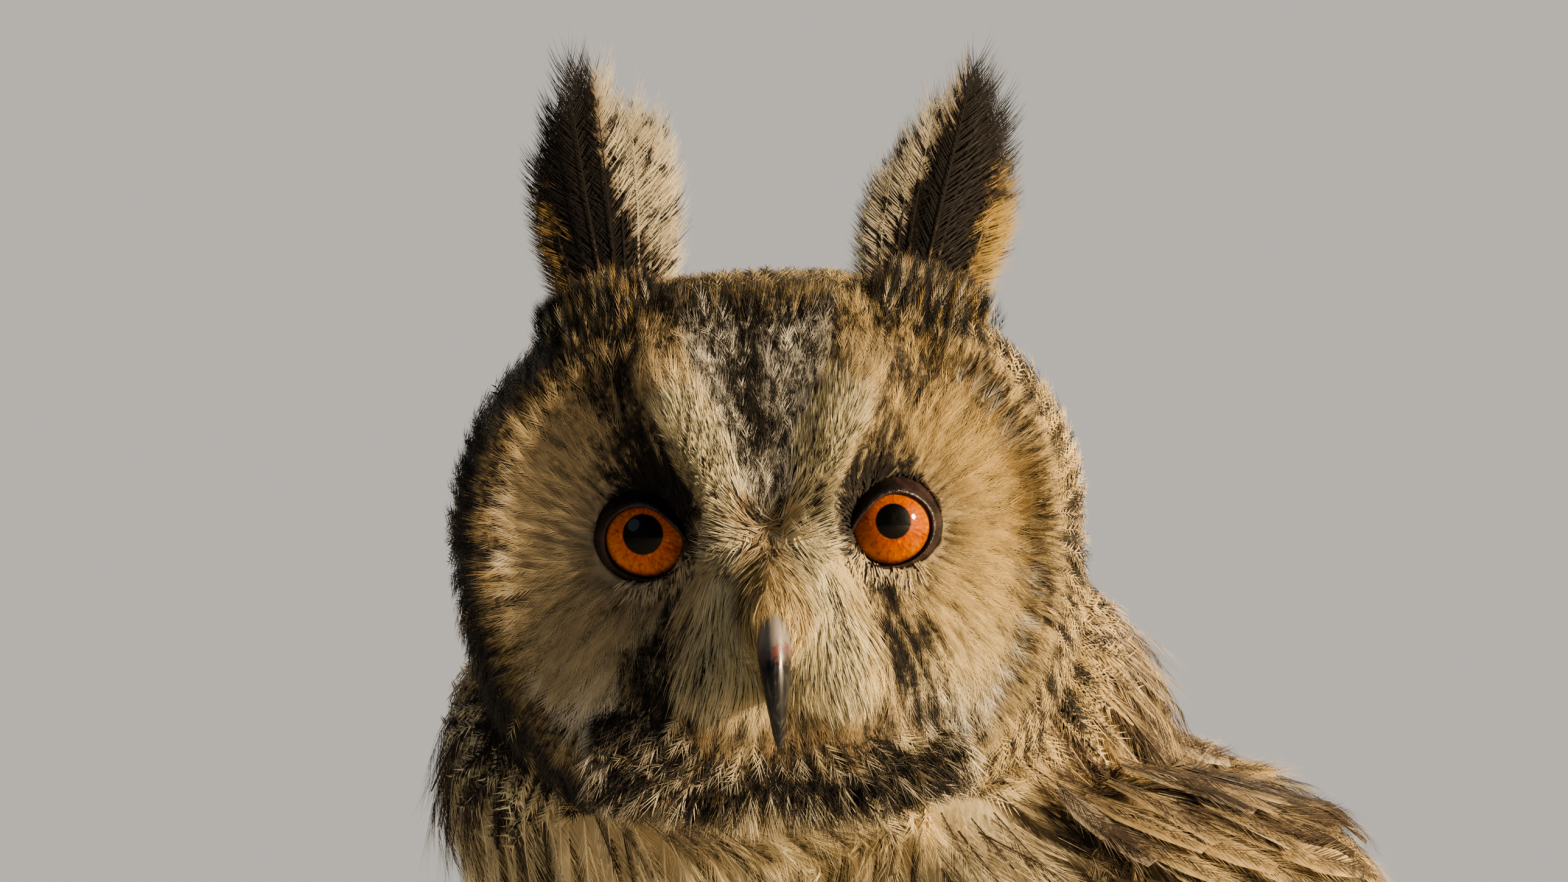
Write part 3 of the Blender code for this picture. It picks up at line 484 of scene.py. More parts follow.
def make_skin():
    """One skin over all the flesh, with sockets cut for the eyes."""
    whole = bmesh.new()
    for bm in skin_forms():
        part = bpy.data.meshes.new("part")
        bm.to_mesh(part)
        bm.free()
        whole.from_mesh(part)
        bpy.data.meshes.remove(part)
    skin = thing_from(whole, "skin")
    modify(skin, "REMESH", mode="VOXEL", voxel_size=SKIN_VOXEL)
    modify(skin, "SMOOTH", factor=0.5, iterations=5)
    apply_modifiers(skin)
    for side in SIDES.values():
        ball = shaped_ball(40, 24, lambda spots: placed(eye_frame(side), spots * SOCKET_RADIUS))
        socket = thing_from(ball, "socket")
        modify(skin, "BOOLEAN", operation="DIFFERENCE", solver="EXACT", object=socket)
        apply_modifiers(skin)
        bpy.data.objects.remove(socket)
    skin.data.shade_smooth()
    return skin


class Ground:
    """The skin's triangles, for sowing roots on it and laying feathers along it."""

    def __init__(self, skin):
        mesh = skin.data
        mesh.calc_loop_triangles()
        triangles = read(mesh.loop_triangles, "vertices", int)
        self.spots = read(mesh.vertices, "co")
        self.corners = self.spots[triangles]
        self.corner_normals = read(mesh.vertices, "normal")[triangles]
        self.centres = self.corners.mean(1)
        edges = self.corners[:, 1:] - self.corners[:, :1]
        self.areas = np.linalg.norm(np.cross(edges[:, 0], edges[:, 1]), axis=1) / 2
        self.tree = BVHTree.FromPolygons(self.spots.tolist(), triangles.tolist())

    def sow(self, weight, count, gap=None):
        """Roots on the skin, no closer than gap, and normals there, more of them where weight is larger."""
        chance = self.areas * np.maximum(weight(self.centres), 0)
        picked = RNG.choice(len(chance), count, p=chance / chance.sum())
        one, two = RNG.random((2, count))
        fold = one + two > 1
        one, two = np.where(fold, 1 - one, one), np.where(fold, 1 - two, two)
        shares = joined(1 - one - two, one, two)[..., None]
        roots, normals = ((rows[picked] * shares).sum(1) for rows in (self.corners, self.corner_normals))
        kept = spaced(roots, gap) if gap else slice(None)
        return roots[kept], unit(normals)[kept]

    def nearest(self, points):
        spots, normals = np.empty_like(points), np.empty_like(points)
        for index, point in enumerate(points.tolist()):
            spots[index], normals[index] = self.tree.find_nearest(point)[:2]
        return spots, normals


def spaced(points, gap):
    """Which of the points to keep so that no two stand closer than gap."""
    kept, cells = [], {}
    steps = [(i, j, k) for i in (-1, 0, 1) for j in (-1, 0, 1) for k in (-1, 0, 1)]
    for index, cell in enumerate(np.floor(points / gap).astype(int).tolist()):
        near = [other for step in steps for other in cells.get(tuple(map(sum, zip(cell, step))), ())]
        if all(np.linalg.norm(points[other] - points[index]) >= gap for other in near):
            kept.append(index)
            cells.setdefault(tuple(cell), []).append(index)
    return np.array(kept)


def wave_field(points, size, seed):
    """A smooth random value about 0 at each point, with swells about size across."""
    draw = np.random.default_rng(seed)
    directions = unit(draw.normal(size=(7, 3))) * (2 * math.pi / size) * draw.uniform(0.6, 1.5, (7, 1))
    phases = draw.uniform(0, 2 * math.pi, 7)
    return np.sin(points @ directions.T + phases).sum(1) / 2.6


# Feather shapes: points with u from root to tip, v across, h off the surface
# One hair: a tapering strip of three triangles
BLADE = (
    np.array((0, 0, 0.5, 0.5, 1.0)), np.array((-1, 1, -0.75, 0.75, 0)), np.zeros(5),
    np.array(((0, 1, 2), (1, 3, 2), (2, 3, 4))),
)


def vane_width(u):
    """The share of its full width that a small feather has at u."""
    return np.sqrt(np.clip(u + 0.12, 0, 1)) * np.sqrt(np.clip(1.12 - u, 0, 1)) * 1.75


def barbed(barbs, sweep, thickness, seed, curved=False, web=0.0, loose=0.06, first=0.0):
    """A feather as a shaft with barbs on both sides, and a thin web under them if any."""
    draw = np.random.default_rng(seed)
    rows, faces = [], [(0, 1, 2), (1, 3, 2), (2, 3, 4)]

    def put(u, v, h):
        rows.append((u, v, h))
        return len(rows) - 1

    for u, v in ((0, -0.05), (0, 0.05), (0.55, -0.035), (0.55, 0.035), (1.04, 0)):
        put(u, v, 0.10)
    for index in range(barbs):
        for side in (-1, 1):
            start = first + (0.98 - first) * (index + draw.uniform(-0.3, 0.3) + (side + 1) * 0.25) / barbs
            width = vane_width(start + 0.5 * sweep) * draw.uniform(0.72, 1.1)
            reach = sweep * draw.uniform(0.8, 1.25)
            lift = draw.uniform(-loose, loose)
            low, high = put(start, 0, 0), put(start + thickness, 0, 0)
            tip = put(start + reach, side * width, lift - 0.25 * width * width)
            strip = [(low, high, tip)]
            if curved:
                u, v = start + 0.42 * reach, side * 0.55 * width
                below, above = (put(u + part * thickness, v, lift * 0.4) for part in (0, 0.9))
                strip = [(low, high, below), (high, above, below), (below, above, tip)]
            faces += strip if side > 0 else [face[::-1] for face in strip]
    if web:
        rings = ((0.04, 0.35), (0.3, 0.85), (0.62, 0.85), (0.9, 0.45))
        pairs = [(put(u, -w * web, -0.35), put(u, w * web, -0.35)) for u, w in rings]
        for (a, b), (c, d) in zip(pairs, pairs[1:]):
            faces += [(a, b, c), (b, d, c)]
    return *np.array(rows, float).T, np.array(faces)


def lay(ground, roots, normals, headings, lengths, lie, lift, steps, stiffness=0.6):
    """Shafts that start at their roots and run over the skin along the lie, and the normals there."""
    shafts, ups = [roots + normals * lift[0]], [normals]
    spots, heading = roots, unit(headings)
    for step in range(1, steps):
        ahead = spots + heading * (lengths / (steps - 1))[:, None]
        spots, normals = ground.nearest(ahead)
        turn = lie(spots, normals)
        heading = heading * stiffness + turn * (1 - stiffness)
        heading = unit(heading - (heading * normals).sum(1, keepdims=True) * normals)
        share = step / (steps - 1)
        height = lift[0] + (lift[1] - lift[0]) * share**1.5
        shafts.append(spots + normals * np.broadcast_to(height, len(spots))[:, None])
        ups.append(normals)
    return np.stack(shafts, 1), np.stack(ups, 1)


class Coat:
    """The arrays of one coat piece, which grow feather group by feather group."""

    def __init__(self, unwrap=None):
        self.unwrap = unwrap
        self.points, self.faces, self.tints, self.patches = [], [], [], []
        self.size = 0

    def add(self, points, faces, tints, patches):
        self.points.append(points.reshape(-1, 3))
        self.faces.append(faces.reshape(-1, 3) + self.size)
        self.tints.append(tints.reshape(-1, 4))
        self.patches.append(patches.reshape(-1, 2))
        self.size += len(self.points[-1])

    def grow(self, template, shafts, ups, half_width, height, paint, roll=0.0):
        """Sets one feather shape on each shaft, painted by paint(u, v) with a row for each feather."""
        u, v, h, faces = template
        count, last = len(shafts), shafts.shape[1] - 1
        i = np.clip((u * last).astype(int), 0, last - 1)
        f = (u * last - i)[None, :, None]
        ahead = unit(np.gradient(shafts, axis=1))
        sides = unit(np.cross(ahead, ups))
        ups = np.cross(sides, ahead)
        values = (np.broadcast_to(value, count)[:, None, None] for value in (roll, half_width, height))
        roll, half_width, height = values
        sides, ups = sides * np.cos(roll) + ups * np.sin(roll), ups * np.cos(roll) - sides * np.sin(roll)
        spot, side, up = (a[:, i] * (1 - f) + a[:, i + 1] * f for a in (shafts, sides, ups))
        points = spot + side * half_width * v[None, :, None] + up * height * h[None, :, None]
        tints = paint(np.broadcast_to(u, (count, len(u))), np.broadcast_to(v, (count, len(u))))
        corner = np.stack([np.clip(v, -1, 1) * 0.5, np.clip(u, 0, 1) - 0.5], -1) * PATCH
        patches = self.unwrap(shafts[:, 0])[:, None] + corner[None]
        self.add(points, faces[None] + np.arange(count)[:, None, None] * len(u), tints, patches)

    def piece(self, name, slot, material, *nodes):
        """Makes the mesh, clear of the floor, with its tints and the places of its patches."""
        lists = self.points, self.faces, self.tints, self.patches
        points, faces, tints, patches = map(np.concatenate, lists)
        points[:, 2] = np.maximum(points[:, 2], CLEAR_OF_FLOOR)
        mesh = bpy.data.meshes.new(name)
        mesh.vertices.add(len(points))
        mesh.loops.add(faces.size)
        mesh.polygons.add(len(faces))
        write(mesh.vertices, "co", points)
        write(mesh.loops, "vertex_index", faces, np.int32)
        write(mesh.polygons, "loop_start", np.arange(0, faces.size, 3), np.int32)
        mesh.update(calc_edges=True)
        mesh.validate()
        tint(mesh, tints)
        mesh.uv_layers.new(name="OFBake")
        write(mesh.uv_layers["OFBake"].data, "uv", np.clip(patches, 0.001, 0.999)[faces.ravel()])
        finished(thing_of(mesh, name), slot, material, *nodes)


def head_unwrap(points):
    """The head opened flat round its line of sight, the face in the middle."""
    x, y, z = (local(HEAD, points) - (0, 0.01, 0)).T
    around, from_front = np.arctan2(z, x), np.arccos(np.clip(-y / np.sqrt(x**2 + y**2 + z**2), -1, 1))
    reach = from_front / math.pi * 0.48
    return 0.5 + np.stack([reach * np.cos(around), reach * np.sin(around)], -1)


def body_unwrap(points):
    """The body opened flat round its length."""
    x, y, z = local(BODY, points).T
    around = np.arctan2(x, y + 0.9 * (z - 0.15))
    return np.stack([0.5 + around / (2 * math.pi) * 0.97, 0.01 + 0.97 * np.clip(z / 0.3, 0, 1)], -1)


# Markings, which the skin and the coat share
def blob(x, z, centre, size, turn=0.0):
    """1 inside a turned oval and 0 well outside it, in millimetres seen from the front."""
    c, s = math.cos(turn), math.sin(turn)
    a = ((x - centre[0]) * c + (z - centre[1]) * s) / size[0]
    b = ((z - centre[1]) * c - (x - centre[0]) * s) / size[1]
    return np.exp(-((a * a + b * b) ** 2))


def stroke(x, z, start, end, width):
    return bump(line_distance(x, z, start, end), width, 4)


def blend(under, over, mask):
    return under + (np.asarray(over) - under) * mask[..., None]


def face_share(points):
    """How far out a place on the head lies as seen from the front, 1 at the outline, and its angle."""
    x, y, z = local(HEAD, points).T
    around = np.arctan2(z, x)
    return np.hypot(x, z) / head_outline(around), around


def head_mask(points):
    """1 on the head and 0 on the neck and body."""
    x, y, z = local(HEAD, points).T
    above = z + 0.049 - (y + 0.030) / 3
    share = face_share(points)[0]
    edge = -0.0400 - 0.0105 * smooth_step(0.021, 0.031, np.abs(x))
    bib = np.where(y < 0, smooth_step(edge - 0.0008, edge + 0.0008, z), 1.0)
    return smooth_step(-0.002, 0.001, above) * (1 - smooth_step(1.0, 1.04, share)) * bib


def eye_angle(x, z):
    """Where a place lies round its eye, in degrees: 0 is towards the bill and 90 straight above."""
    return np.degrees(np.arctan2(z - EYE_SEEN[1], EYE_SEEN[0] - np.abs(x)))


def eye_ring(x, z):
    """How far out from its eye a place lies, 1 at the edge of the bare skin."""
    return np.hypot((np.abs(x) - EYE_SEEN[0]) / BARE_SKIN[0], (z - EYE_SEEN[1]) / BARE_SKIN[1])


def past_crescent(x, z):
    """How far past the dark skin round an eye a place lies, in shares of the eye's own size."""
    return eye_ring(x, z) - 1.20 - (0.50 + 0.22 * (x < 0)) * bump(eye_angle(x, z) - 72, 42)


def brow_mask(x, z):
    side = np.abs(x)
    arms = stroke(side, z, (4.0, -3), (8, 9), 2.9) + stroke(side, z, (8, 9), (14.5, 20), 3.6)
    return np.clip(arms, 0, 1)


def moustache_mask(x, z):
    side = np.abs(x)
    low = blob(side, z, (7.6, -19.0), (5.2, 10.5), -0.15)
    return np.clip(low + stroke(side, z, (5, -4), (7, -14), 4), 0, 1)


def forehead_mask(x, z):
    half = 3.0 + 0.30 * np.maximum(z - 2, 0)
    return smooth_step(half + 1.5, half - 1.5, np.abs(x)) * smooth_step(-1, 3, z)


def chin_top(x):
    """How high the dark bib reaches, in millimetres, highest on the owl's right."""
    return -30.5 + 6.0 * smooth_step(-6, -18, x)


def chin_mask(x, z):
    inside = smooth_step(-1.5, 1.5, chin_top(x) - z) * smooth_step(-1.5, 1.5, z + 40.5)
    return inside * smooth_step(28, 23, np.abs(x))


def nose_mask(x, z):
    """The feathered base of the bill."""
    return blob(x, z, (0.2, -8.5), (4.6, 9.0))


def face_marks(points):
    """Base colour, tip colour and share of dark for places on the front of the head."""
    x, y, z = on_face(points)
    side = np.abs(x)
    share, around = face_share(points)
    degrees = np.degrees(around)
    mottle, swell = wave_field(points, 0.0024, 3), wave_field(points, 0.009, 4)
    astray, adrift = (1.9 * wave_field(points, size, seed) for size, seed in ((0.0052, 12), (0.0060, 13)))

    # The disc, with its dark top, the dark patches under the eyes and its white rim, and painted light and
    # shade on its two sides
    top = smooth_step(11, 20, z) * smooth_step(9, 13, side) * (1 - 0.5 * smooth_step(26, 36, side))
    base = np.tile(BUFF, (len(points), 1))
    for colour, mask in (
        # Gold at the outer edges of the disc, with more on the owl's left as painted light on the side that
        # faces the warm lamp
        (GOLD, smooth_step(18, 26, side) * smooth_step(-20, 0, z) * (0.15 + 0.30 * (x > 0))),
        # Painted shade: grey over the owl's right side of the disc, the side away from the light
        (GREY, 0.40 * smooth_step(-10, -20, x)),
        (CREAM, smooth_step(-12, -34, z) * 0.45),
        (GREY, smooth_step(15, 8, np.hypot(side - 19.5, z)) * 0.35),
        (TAN, top * 0.5),
    ):
        base = blend(base, colour, mask)
    under_eye = blob(x + astray, z + adrift, (20.6, -17.5), (5.6, 8.6), 0.45)
    under_eye += blob(x + astray, z + adrift, (-17.8, -19.5), (5.6, 9.2), -0.45)
    past = past_crescent(x, z)
    crescent = smooth_step(0.14, -0.14, past) * bump(eye_angle(x, z) - 55, 78, 6)
    ink = 0.10 + 0.06 * swell + top * (0.40 + 0.20 * mottle) + (0.82 + 0.45 * mottle) * under_eye
    # The dark crescents round the eyes, and painted shade: extra dark above the eye on the owl's right,
    # under its brow, on the side away from the light
    ink = ink + 0.95 * crescent + 0.35 * smooth_step(0.9, 0.1, past) * blob(x, z, (-16, 13), (7, 8))
    ink = ink + 0.40 * stroke(side, z, (13, 23), (23, 17), 2.6)
    jowls = blob(x, z, (-28, -33), (10, 8)) + blob(x, z, (27, -33), (6, 5))
    ink = ink + jowls * 0.30 * np.maximum(mottle, 0)
    rim_white = 0
    for strength, angle, middle, width in (
        (1, degrees, -35, 32), (1, degrees, 28, 12),
        (0.35, np.abs(degrees), 176, 12), (0.6, degrees, -132, 20),
    ):
        rim_white = rim_white + strength * bump(angle - middle, width, 4)
    rim_white = np.clip(bump(share - 0.856, 0.019) * rim_white, 0, 1)
    base = blend(blend(base, WHITE, jowls * 0.45), WHITE, rim_white * 0.9)
    ink = ink * (1 - rim_white * 0.8)

    # What lies over the disc: forehead, crown, pale cross, base of the bill, bib and ruff
    wedge = forehead_mask(x, z)
    crown = smooth_step(32, 37, z) * smooth_step(15, 12, side)
    pale = np.clip(brow_mask(x, z) + moustache_mask(x, z), 0, 1)
    between_eyes = blob(x, z, (-0.3, 0.8), (3.0, 3.6))
    cere = blob(x, z, (0.8, -10.0), (3.6, 6.5))
    chin = chin_mask(x + astray, z + adrift)
    ruff = smooth_step(0.872, 0.885, share) * (1 - chin)
    tip = base * 1.12
    for mask, low_share, low, tip_share, high in (
        (wedge, 0.85, CREAM, 0.8, WHITE), (crown, 0.7, GREY, 0.7, GREY), (pale, 1, CREAM, 1, CREAM),
        (between_eyes, 1, BROWN, 1, TAN), (cere, 1, TAN, 0.8, BUFF), (chin, 1, BROWN, 1, TAN),
        (ruff, 1, TAN, 1, BUFF),
    ):
        base, tip = blend(base, low, mask * low_share), blend(tip, high, mask * tip_share)
    ink = ink * (1 - wedge) + wedge * (0.60 + 0.32 * mottle)
    ink = ink + 0.45 * bump(x + 1.0, 1.3) * smooth_step(8, 16, z) + 0.45 * crown
    ink = ink * (1 - 0.85 * pale)
    ink = ink * (1 - chin) + chin * (0.86 + 0.3 * mottle)
    # The dark line at the disc's edge is the ruff's own mark; on the owl's right the line is drawn wider
    # and darker, and the ruff there is darkened too, as painted shade away from the light
    line = bump(share - 0.900, 0.018 + 0.010 * (x < 0))
    ruff_dark_and_shade = 0.42 + 0.55 * smooth_step(-10, -30, x) + 0.50 * mottle + (0.60 + 0.30 * (x < 0)) * line
    return base, tip, np.clip(ink * (1 - ruff) + ruff * np.clip(ruff_dark_and_shade, 0, 1), 0, 1)


def back_marks(points):
    """The same for the sides, top and back of the head."""
    mottle, swell = wave_field(points, 0.0035, 5), wave_field(points, 0.014, 6)
    x, y, z = on_face(points)
    crown = smooth_step(30, 36, z) * smooth_step(17, 13, np.abs(x))
    base = blend(np.tile(OCHRE, (len(points), 1)), GREY, smooth_step(-0.5, 0.8, swell) * 0.6)
    base = blend(base, GREY, crown * 0.8)
    return base, base * 1.25, np.clip(0.42 + 0.30 * mottle + 0.10 * swell + 0.32 * crown, 0, 1)


def body_marks(points):
    """The same for the neck and body, and how strong the dark streak on each feather is."""
    x, y, z = local(BODY, points).T
    centre_y = np.interp(z, TRUNK[::-1, 2], TRUNK[::-1, 1])
    front = smooth_step(0.012, -0.018, y - centre_y)
    swell = wave_field(points, 0.020, 8)
    legs = smooth_step(0.075, 0.055, z) * smooth_step(0.045, 0.030, y)
    base = np.tile(OCHRE, (len(points), 1))
    for colour, mask in (
        (GREY, smooth_step(-0.2, 1.0, swell) * 0.5), (STRAW, front),
        (CREAM, front * smooth_step(-0.3, 1.2, swell) * 0.7), (BUFF, legs),
    ):
        base = blend(base, colour, mask)
    tip = blend(base * 1.15, CREAM, front * 0.5)
    # Painted shade: more dark on the side of the neck on the owl's right, the side away from the light
    shaded_neck_side = smooth_step(-0.032, -0.048, local(HEAD, points)[:, 0]) * smooth_step(0.13, 0.16, z)
    ink = (0.20 - 0.17 * front + 0.30 * shaded_neck_side) * (1 - legs)
    return base, tip, ink, (0.72 - 0.04 * front) * (1 - legs)


def marks(points):
    """Base colour, tip colour and share of dark for places anywhere on the skin."""
    head = head_mask(points)
    front = smooth_step(0.004, -0.004, local(HEAD, points)[:, 1]) * head
    parts = face_marks(points), back_marks(points), body_marks(points)[:3]
    base, tip, ink = 0, 0, 0
    for (its_base, its_tip, its_ink), weight in zip(parts, (front, head - front, 1 - head)):
        base, tip = base + its_base * weight[:, None], tip + its_tip * weight[:, None]
        ink = ink + its_ink * weight
    return base, tip, ink


# The lie of the coat
def tangent(matrix, arrows, normals):
    """Arrows of a frame, turned along the skin."""
    arrows = turned(matrix, arrows)
    return unit(arrows - (arrows * normals).sum(1, keepdims=True) * normals)


def head_lie(points, normals):
    """Feathers spread from each eye over the disc, up the forehead, down the chin and over the crown."""
    x, y, z = on_face(points)
    side = np.sign(x)
    wedge = forehead_mask(x, z)
    beside_bill = np.clip(brow_mask(x, z) + moustache_mask(x, z), 0, 1) * (1 - wedge)
    heading = unit(joined(x - side * 17.5, 0, z + 1.0))
    for way, mask in (
        (joined(0.25 * x / 10, 0.2, 1.0), wedge),
        (joined(x + side, 0, z + 5.0), beside_bill),
        (joined(0.12 * x, -0.5, -1.0), nose_mask(x, z)),
        (joined(0.06 * x, 0, -1.0), np.maximum(chin_mask(x, z), smooth_step(-38, -44, z))),
        (joined(0.15 * x / 40, 1.0, -0.35), smooth_step(-6, 6, y + 2)),
    ):
        heading = blend(heading, unit(way), mask)
    return tangent(HEAD, heading, normals)


def body_lie(points, normals):
    """Feathers run down the body and out to the tail, and straight down the legs."""
    x, y, z = local(BODY, points).T
    low = smooth_step(0.075, 0.05, z) * smooth_step(0.045, 0.030, y)
    return tangent(BODY, joined(0, 0.55 - 0.55 * low, -0.85), normals)


def spun(headings, normals, angles):
    """Headings turned about their normals by an angle each."""
    angles = np.asarray(angles)[:, None]
    return headings * np.cos(angles) + np.cross(normals, headings) * np.sin(angles)


def with_dark(colour, dark):
    """Colours with the share of dark as their alpha."""
    return np.concatenate([colour, np.clip(dark, 0, 1)[..., None]], -1)


def painted(base, tip, ink, streak=0.0, bars=0.0, root_shade=0.5):
    """A paint for feathers: root colour to tip colour, with dark in the alpha channel."""
    count = len(base)
    tone = RNG.uniform(0.86, 1.14, (count, 1, 1))
    phase = RNG.uniform(0, 2 * math.pi, (count, 1))
    streak, bars = (np.broadcast_to(strength, count)[:, None] for strength in (streak, bars))

    def paint(u, v):
        run = np.clip(u, 0, 1)[..., None]
        colour = (base[:, None] + (tip - base)[:, None] * run**1.6) * tone
        colour = colour * (root_shade + (1 - root_shade) * np.clip(run * 1.6, 0, 1))
        dark = ink[:, None] + streak * bump(v, 0.30 + 0.12 * np.sin(5 * u + phase)) * (u < 0.93)
        dark = dark + bars * np.maximum(0, np.sin(u * 15 + phase)) * (np.abs(v) > 0.1)
        return with_dark(colour, dark)

    return paint


# Materials
class Nodes:
    """Short ways to add and join shader nodes in one tree."""

    def __init__(self, tree):
        self.tree = tree

    def put(self, socket, value):
        """Joins a node's output to a socket, or sets the socket's own value."""
        if isinstance(value, bpy.types.NodeSocket):
            self.tree.links.new(value, socket)
        else:
            socket.default_value = value

    def add(self, kind, inputs=(), **settings):
        node = self.tree.nodes.new(kind)
        for name, value in settings.items():
            setattr(node, name, value)
        for key, value in dict(inputs).items():
            self.put(node.inputs[key], value)
        return node

    def math(self, operation, *values):
        return self.add("ShaderNodeMath", dict(enumerate(values)), operation=operation).outputs[0]

    def ramp(self, value, low, high, to_low=0.0, to_high=1.0):
        inputs = {"Value": value, "From Min": low, "From Max": high, "To Min": to_low, "To Max": to_high}
        return self.add("ShaderNodeMapRange", inputs, interpolation_type="SMOOTHSTEP").outputs[0]

    def mix(self, share, first, second):
        colours = [(*colour, 1) if isinstance(colour, tuple) else colour for colour in (first, second)]
        inputs = {0: share, 6: colours[0], 7: colours[1]}
        return self.add("ShaderNodeMix", inputs, data_type="RGBA").outputs[2]

    def noise(self, vector, scale, detail=3.0, roughness=0.55):
        inputs = {"Vector": vector, "Scale": scale, "Detail": detail, "Roughness": roughness}
        return self.add("ShaderNodeTexNoise", inputs).outputs["Fac"]

    def object_place(self):
        return self.add("ShaderNodeTexCoord").outputs["Object"]

    def finish(self, values, height=None, strength=0.0, distance=0.0002):
        """Puts these values on the surface shader, with relief from a height if any."""
        shader = self.tree.nodes["Principled BSDF"]
        if height:
            relief = {"Height": height, "Strength": strength, "Distance": distance}
            self.put(shader.inputs["Normal"], self.add("ShaderNodeBump", relief).outputs["Normal"])
        for key, value in values.items():
            self.put(shader.inputs[key], value)


def new_material(name):
    made = bpy.data.materials.new(name)
    made.use_nodes = True
    return made, Nodes(made.node_tree)


def plumage_group():
    """Turns tint and dark share into feather colour, with fine mottling, tone and barb relief."""
    group = bpy.data.node_groups.new("plumage_detail", "ShaderNodeTree")
    inputs = {"Tint": "Color", "Dark": "Float", "Mottle": "Float", "Dark Tone": "Color"}
    outputs = {"Color": "Color", "Roughness": "Float", "Height": "Float"}
    for in_out, sockets in (("INPUT", inputs), ("OUTPUT", outputs)):
        for name, kind in sockets.items():
            group.interface.new_socket(name, in_out=in_out, socket_type="NodeSocket" + kind)
    n = Nodes(group)
    given, end = n.add("NodeGroupInput").outputs, n.add("NodeGroupOutput")
    place = n.object_place()
    fine, broad = n.noise(place, 900.0), n.noise(place, 140.0)
    edge = n.math("MULTIPLY", n.math("SUBTRACT", fine, 0.5), given["Mottle"])
    mask = n.ramp(n.math("ADD", given["Dark"], edge), 0.36, 0.66)
    tone = n.ramp(broad, 0.3, 0.7, 0.84, 1.14)
    toned = n.add("ShaderNodeVectorMath", {0: given["Tint"], "Scale": tone}, operation="SCALE").outputs[0]
    n.put(end.inputs["Color"], n.mix(mask, toned, given["Dark Tone"]))
    n.put(end.inputs["Roughness"], n.ramp(fine, 0.2, 0.8, 0.62, 0.86))
    n.put(end.inputs["Height"], fine)
    return group


PLUMAGE_DETAIL = plumage_group()


def plumage(name, dark, mottle, relief):
    """Feathers in the colours of the tint, soft and a little glossy."""
    made, n = new_material(name)
    drawn = n.add("ShaderNodeAttribute", attribute_name="tint").outputs
    inputs = {"Tint": drawn["Color"], "Dark": drawn["Alpha"], "Mottle": mottle, "Dark Tone": (*dark, 1)}
    detail = n.add("ShaderNodeGroup", inputs, node_tree=PLUMAGE_DETAIL).outputs
    values = {"Base Color": detail["Color"], "Roughness": detail["Roughness"], "Specular IOR Level": 0.35,
              "Sheen Weight": 0.12, "Sheen Roughness": 0.5}
    n.finish(values, detail["Height"], relief, 0.0004)
    return made


def eye_material(name, side, pupil, depth):
    """Orange iris with fine rays round a black pupil, under a wet gloss."""
    made, n = new_material(name)
    back = eye_frame(side).inverted()
    turn, place = back.to_euler(), back.translation
    inputs = {"Vector": n.object_place(), "Location": place, "Rotation": turn}
    mapped = n.add("ShaderNodeMapping", inputs).outputs[0]
    parts = n.add("ShaderNodeSeparateXYZ", {"Vector": mapped}).outputs
    across, height = parts["X"], n.math("SUBTRACT", parts["Z"], 0.0002)
    squares = (n.math("MULTIPLY", part, part) for part in (across, height))
    reach = n.math("SQRT", n.math("ADD", *squares))
    ray_x, ray_z = n.math("DIVIDE", across, reach), n.math("DIVIDE", height, reach)
    rays = n.add("ShaderNodeCombineXYZ", {"X": ray_x, "Y": n.math("MULTIPLY", reach, 90.0), "Z": ray_z})
    fibres = n.noise(rays.outputs[0], 9.0, 5.0, 0.65)
    flecks = n.noise(mapped, 1500.0, 2.0)
    # Painted shade: depth scales all the iris colours, and one eye is given less of it than the other
    inner, outer, dark, bright = (tuple(part * depth for part in tone) for tone in IRIS_TONES)
    colour = n.mix(n.ramp(reach, 0.0030, 0.0062), inner, outer)
    colour = n.mix(n.ramp(fibres, 0.42, 0.72), colour, dark)
    colour = n.mix(n.ramp(flecks, 0.56, 0.72, 0.0, 0.55), colour, bright)
    colour = n.mix(n.ramp(reach, 0.0058, 0.0070), colour, IRIS_EDGE)
    colour = n.mix(n.ramp(reach, pupil - 0.00012, pupil + 0.00018), PUPIL_BLACK, colour)
    values = {"Base Color": colour, "Roughness": n.ramp(fibres, 0.2, 0.8, 0.35, 0.5),
              "Specular IOR Level": 0.1, "Coat Weight": 0.6, "Coat Roughness": 0.015, "Coat IOR": 1.36}
    n.finish(values, fibres, 0.25)
    return made


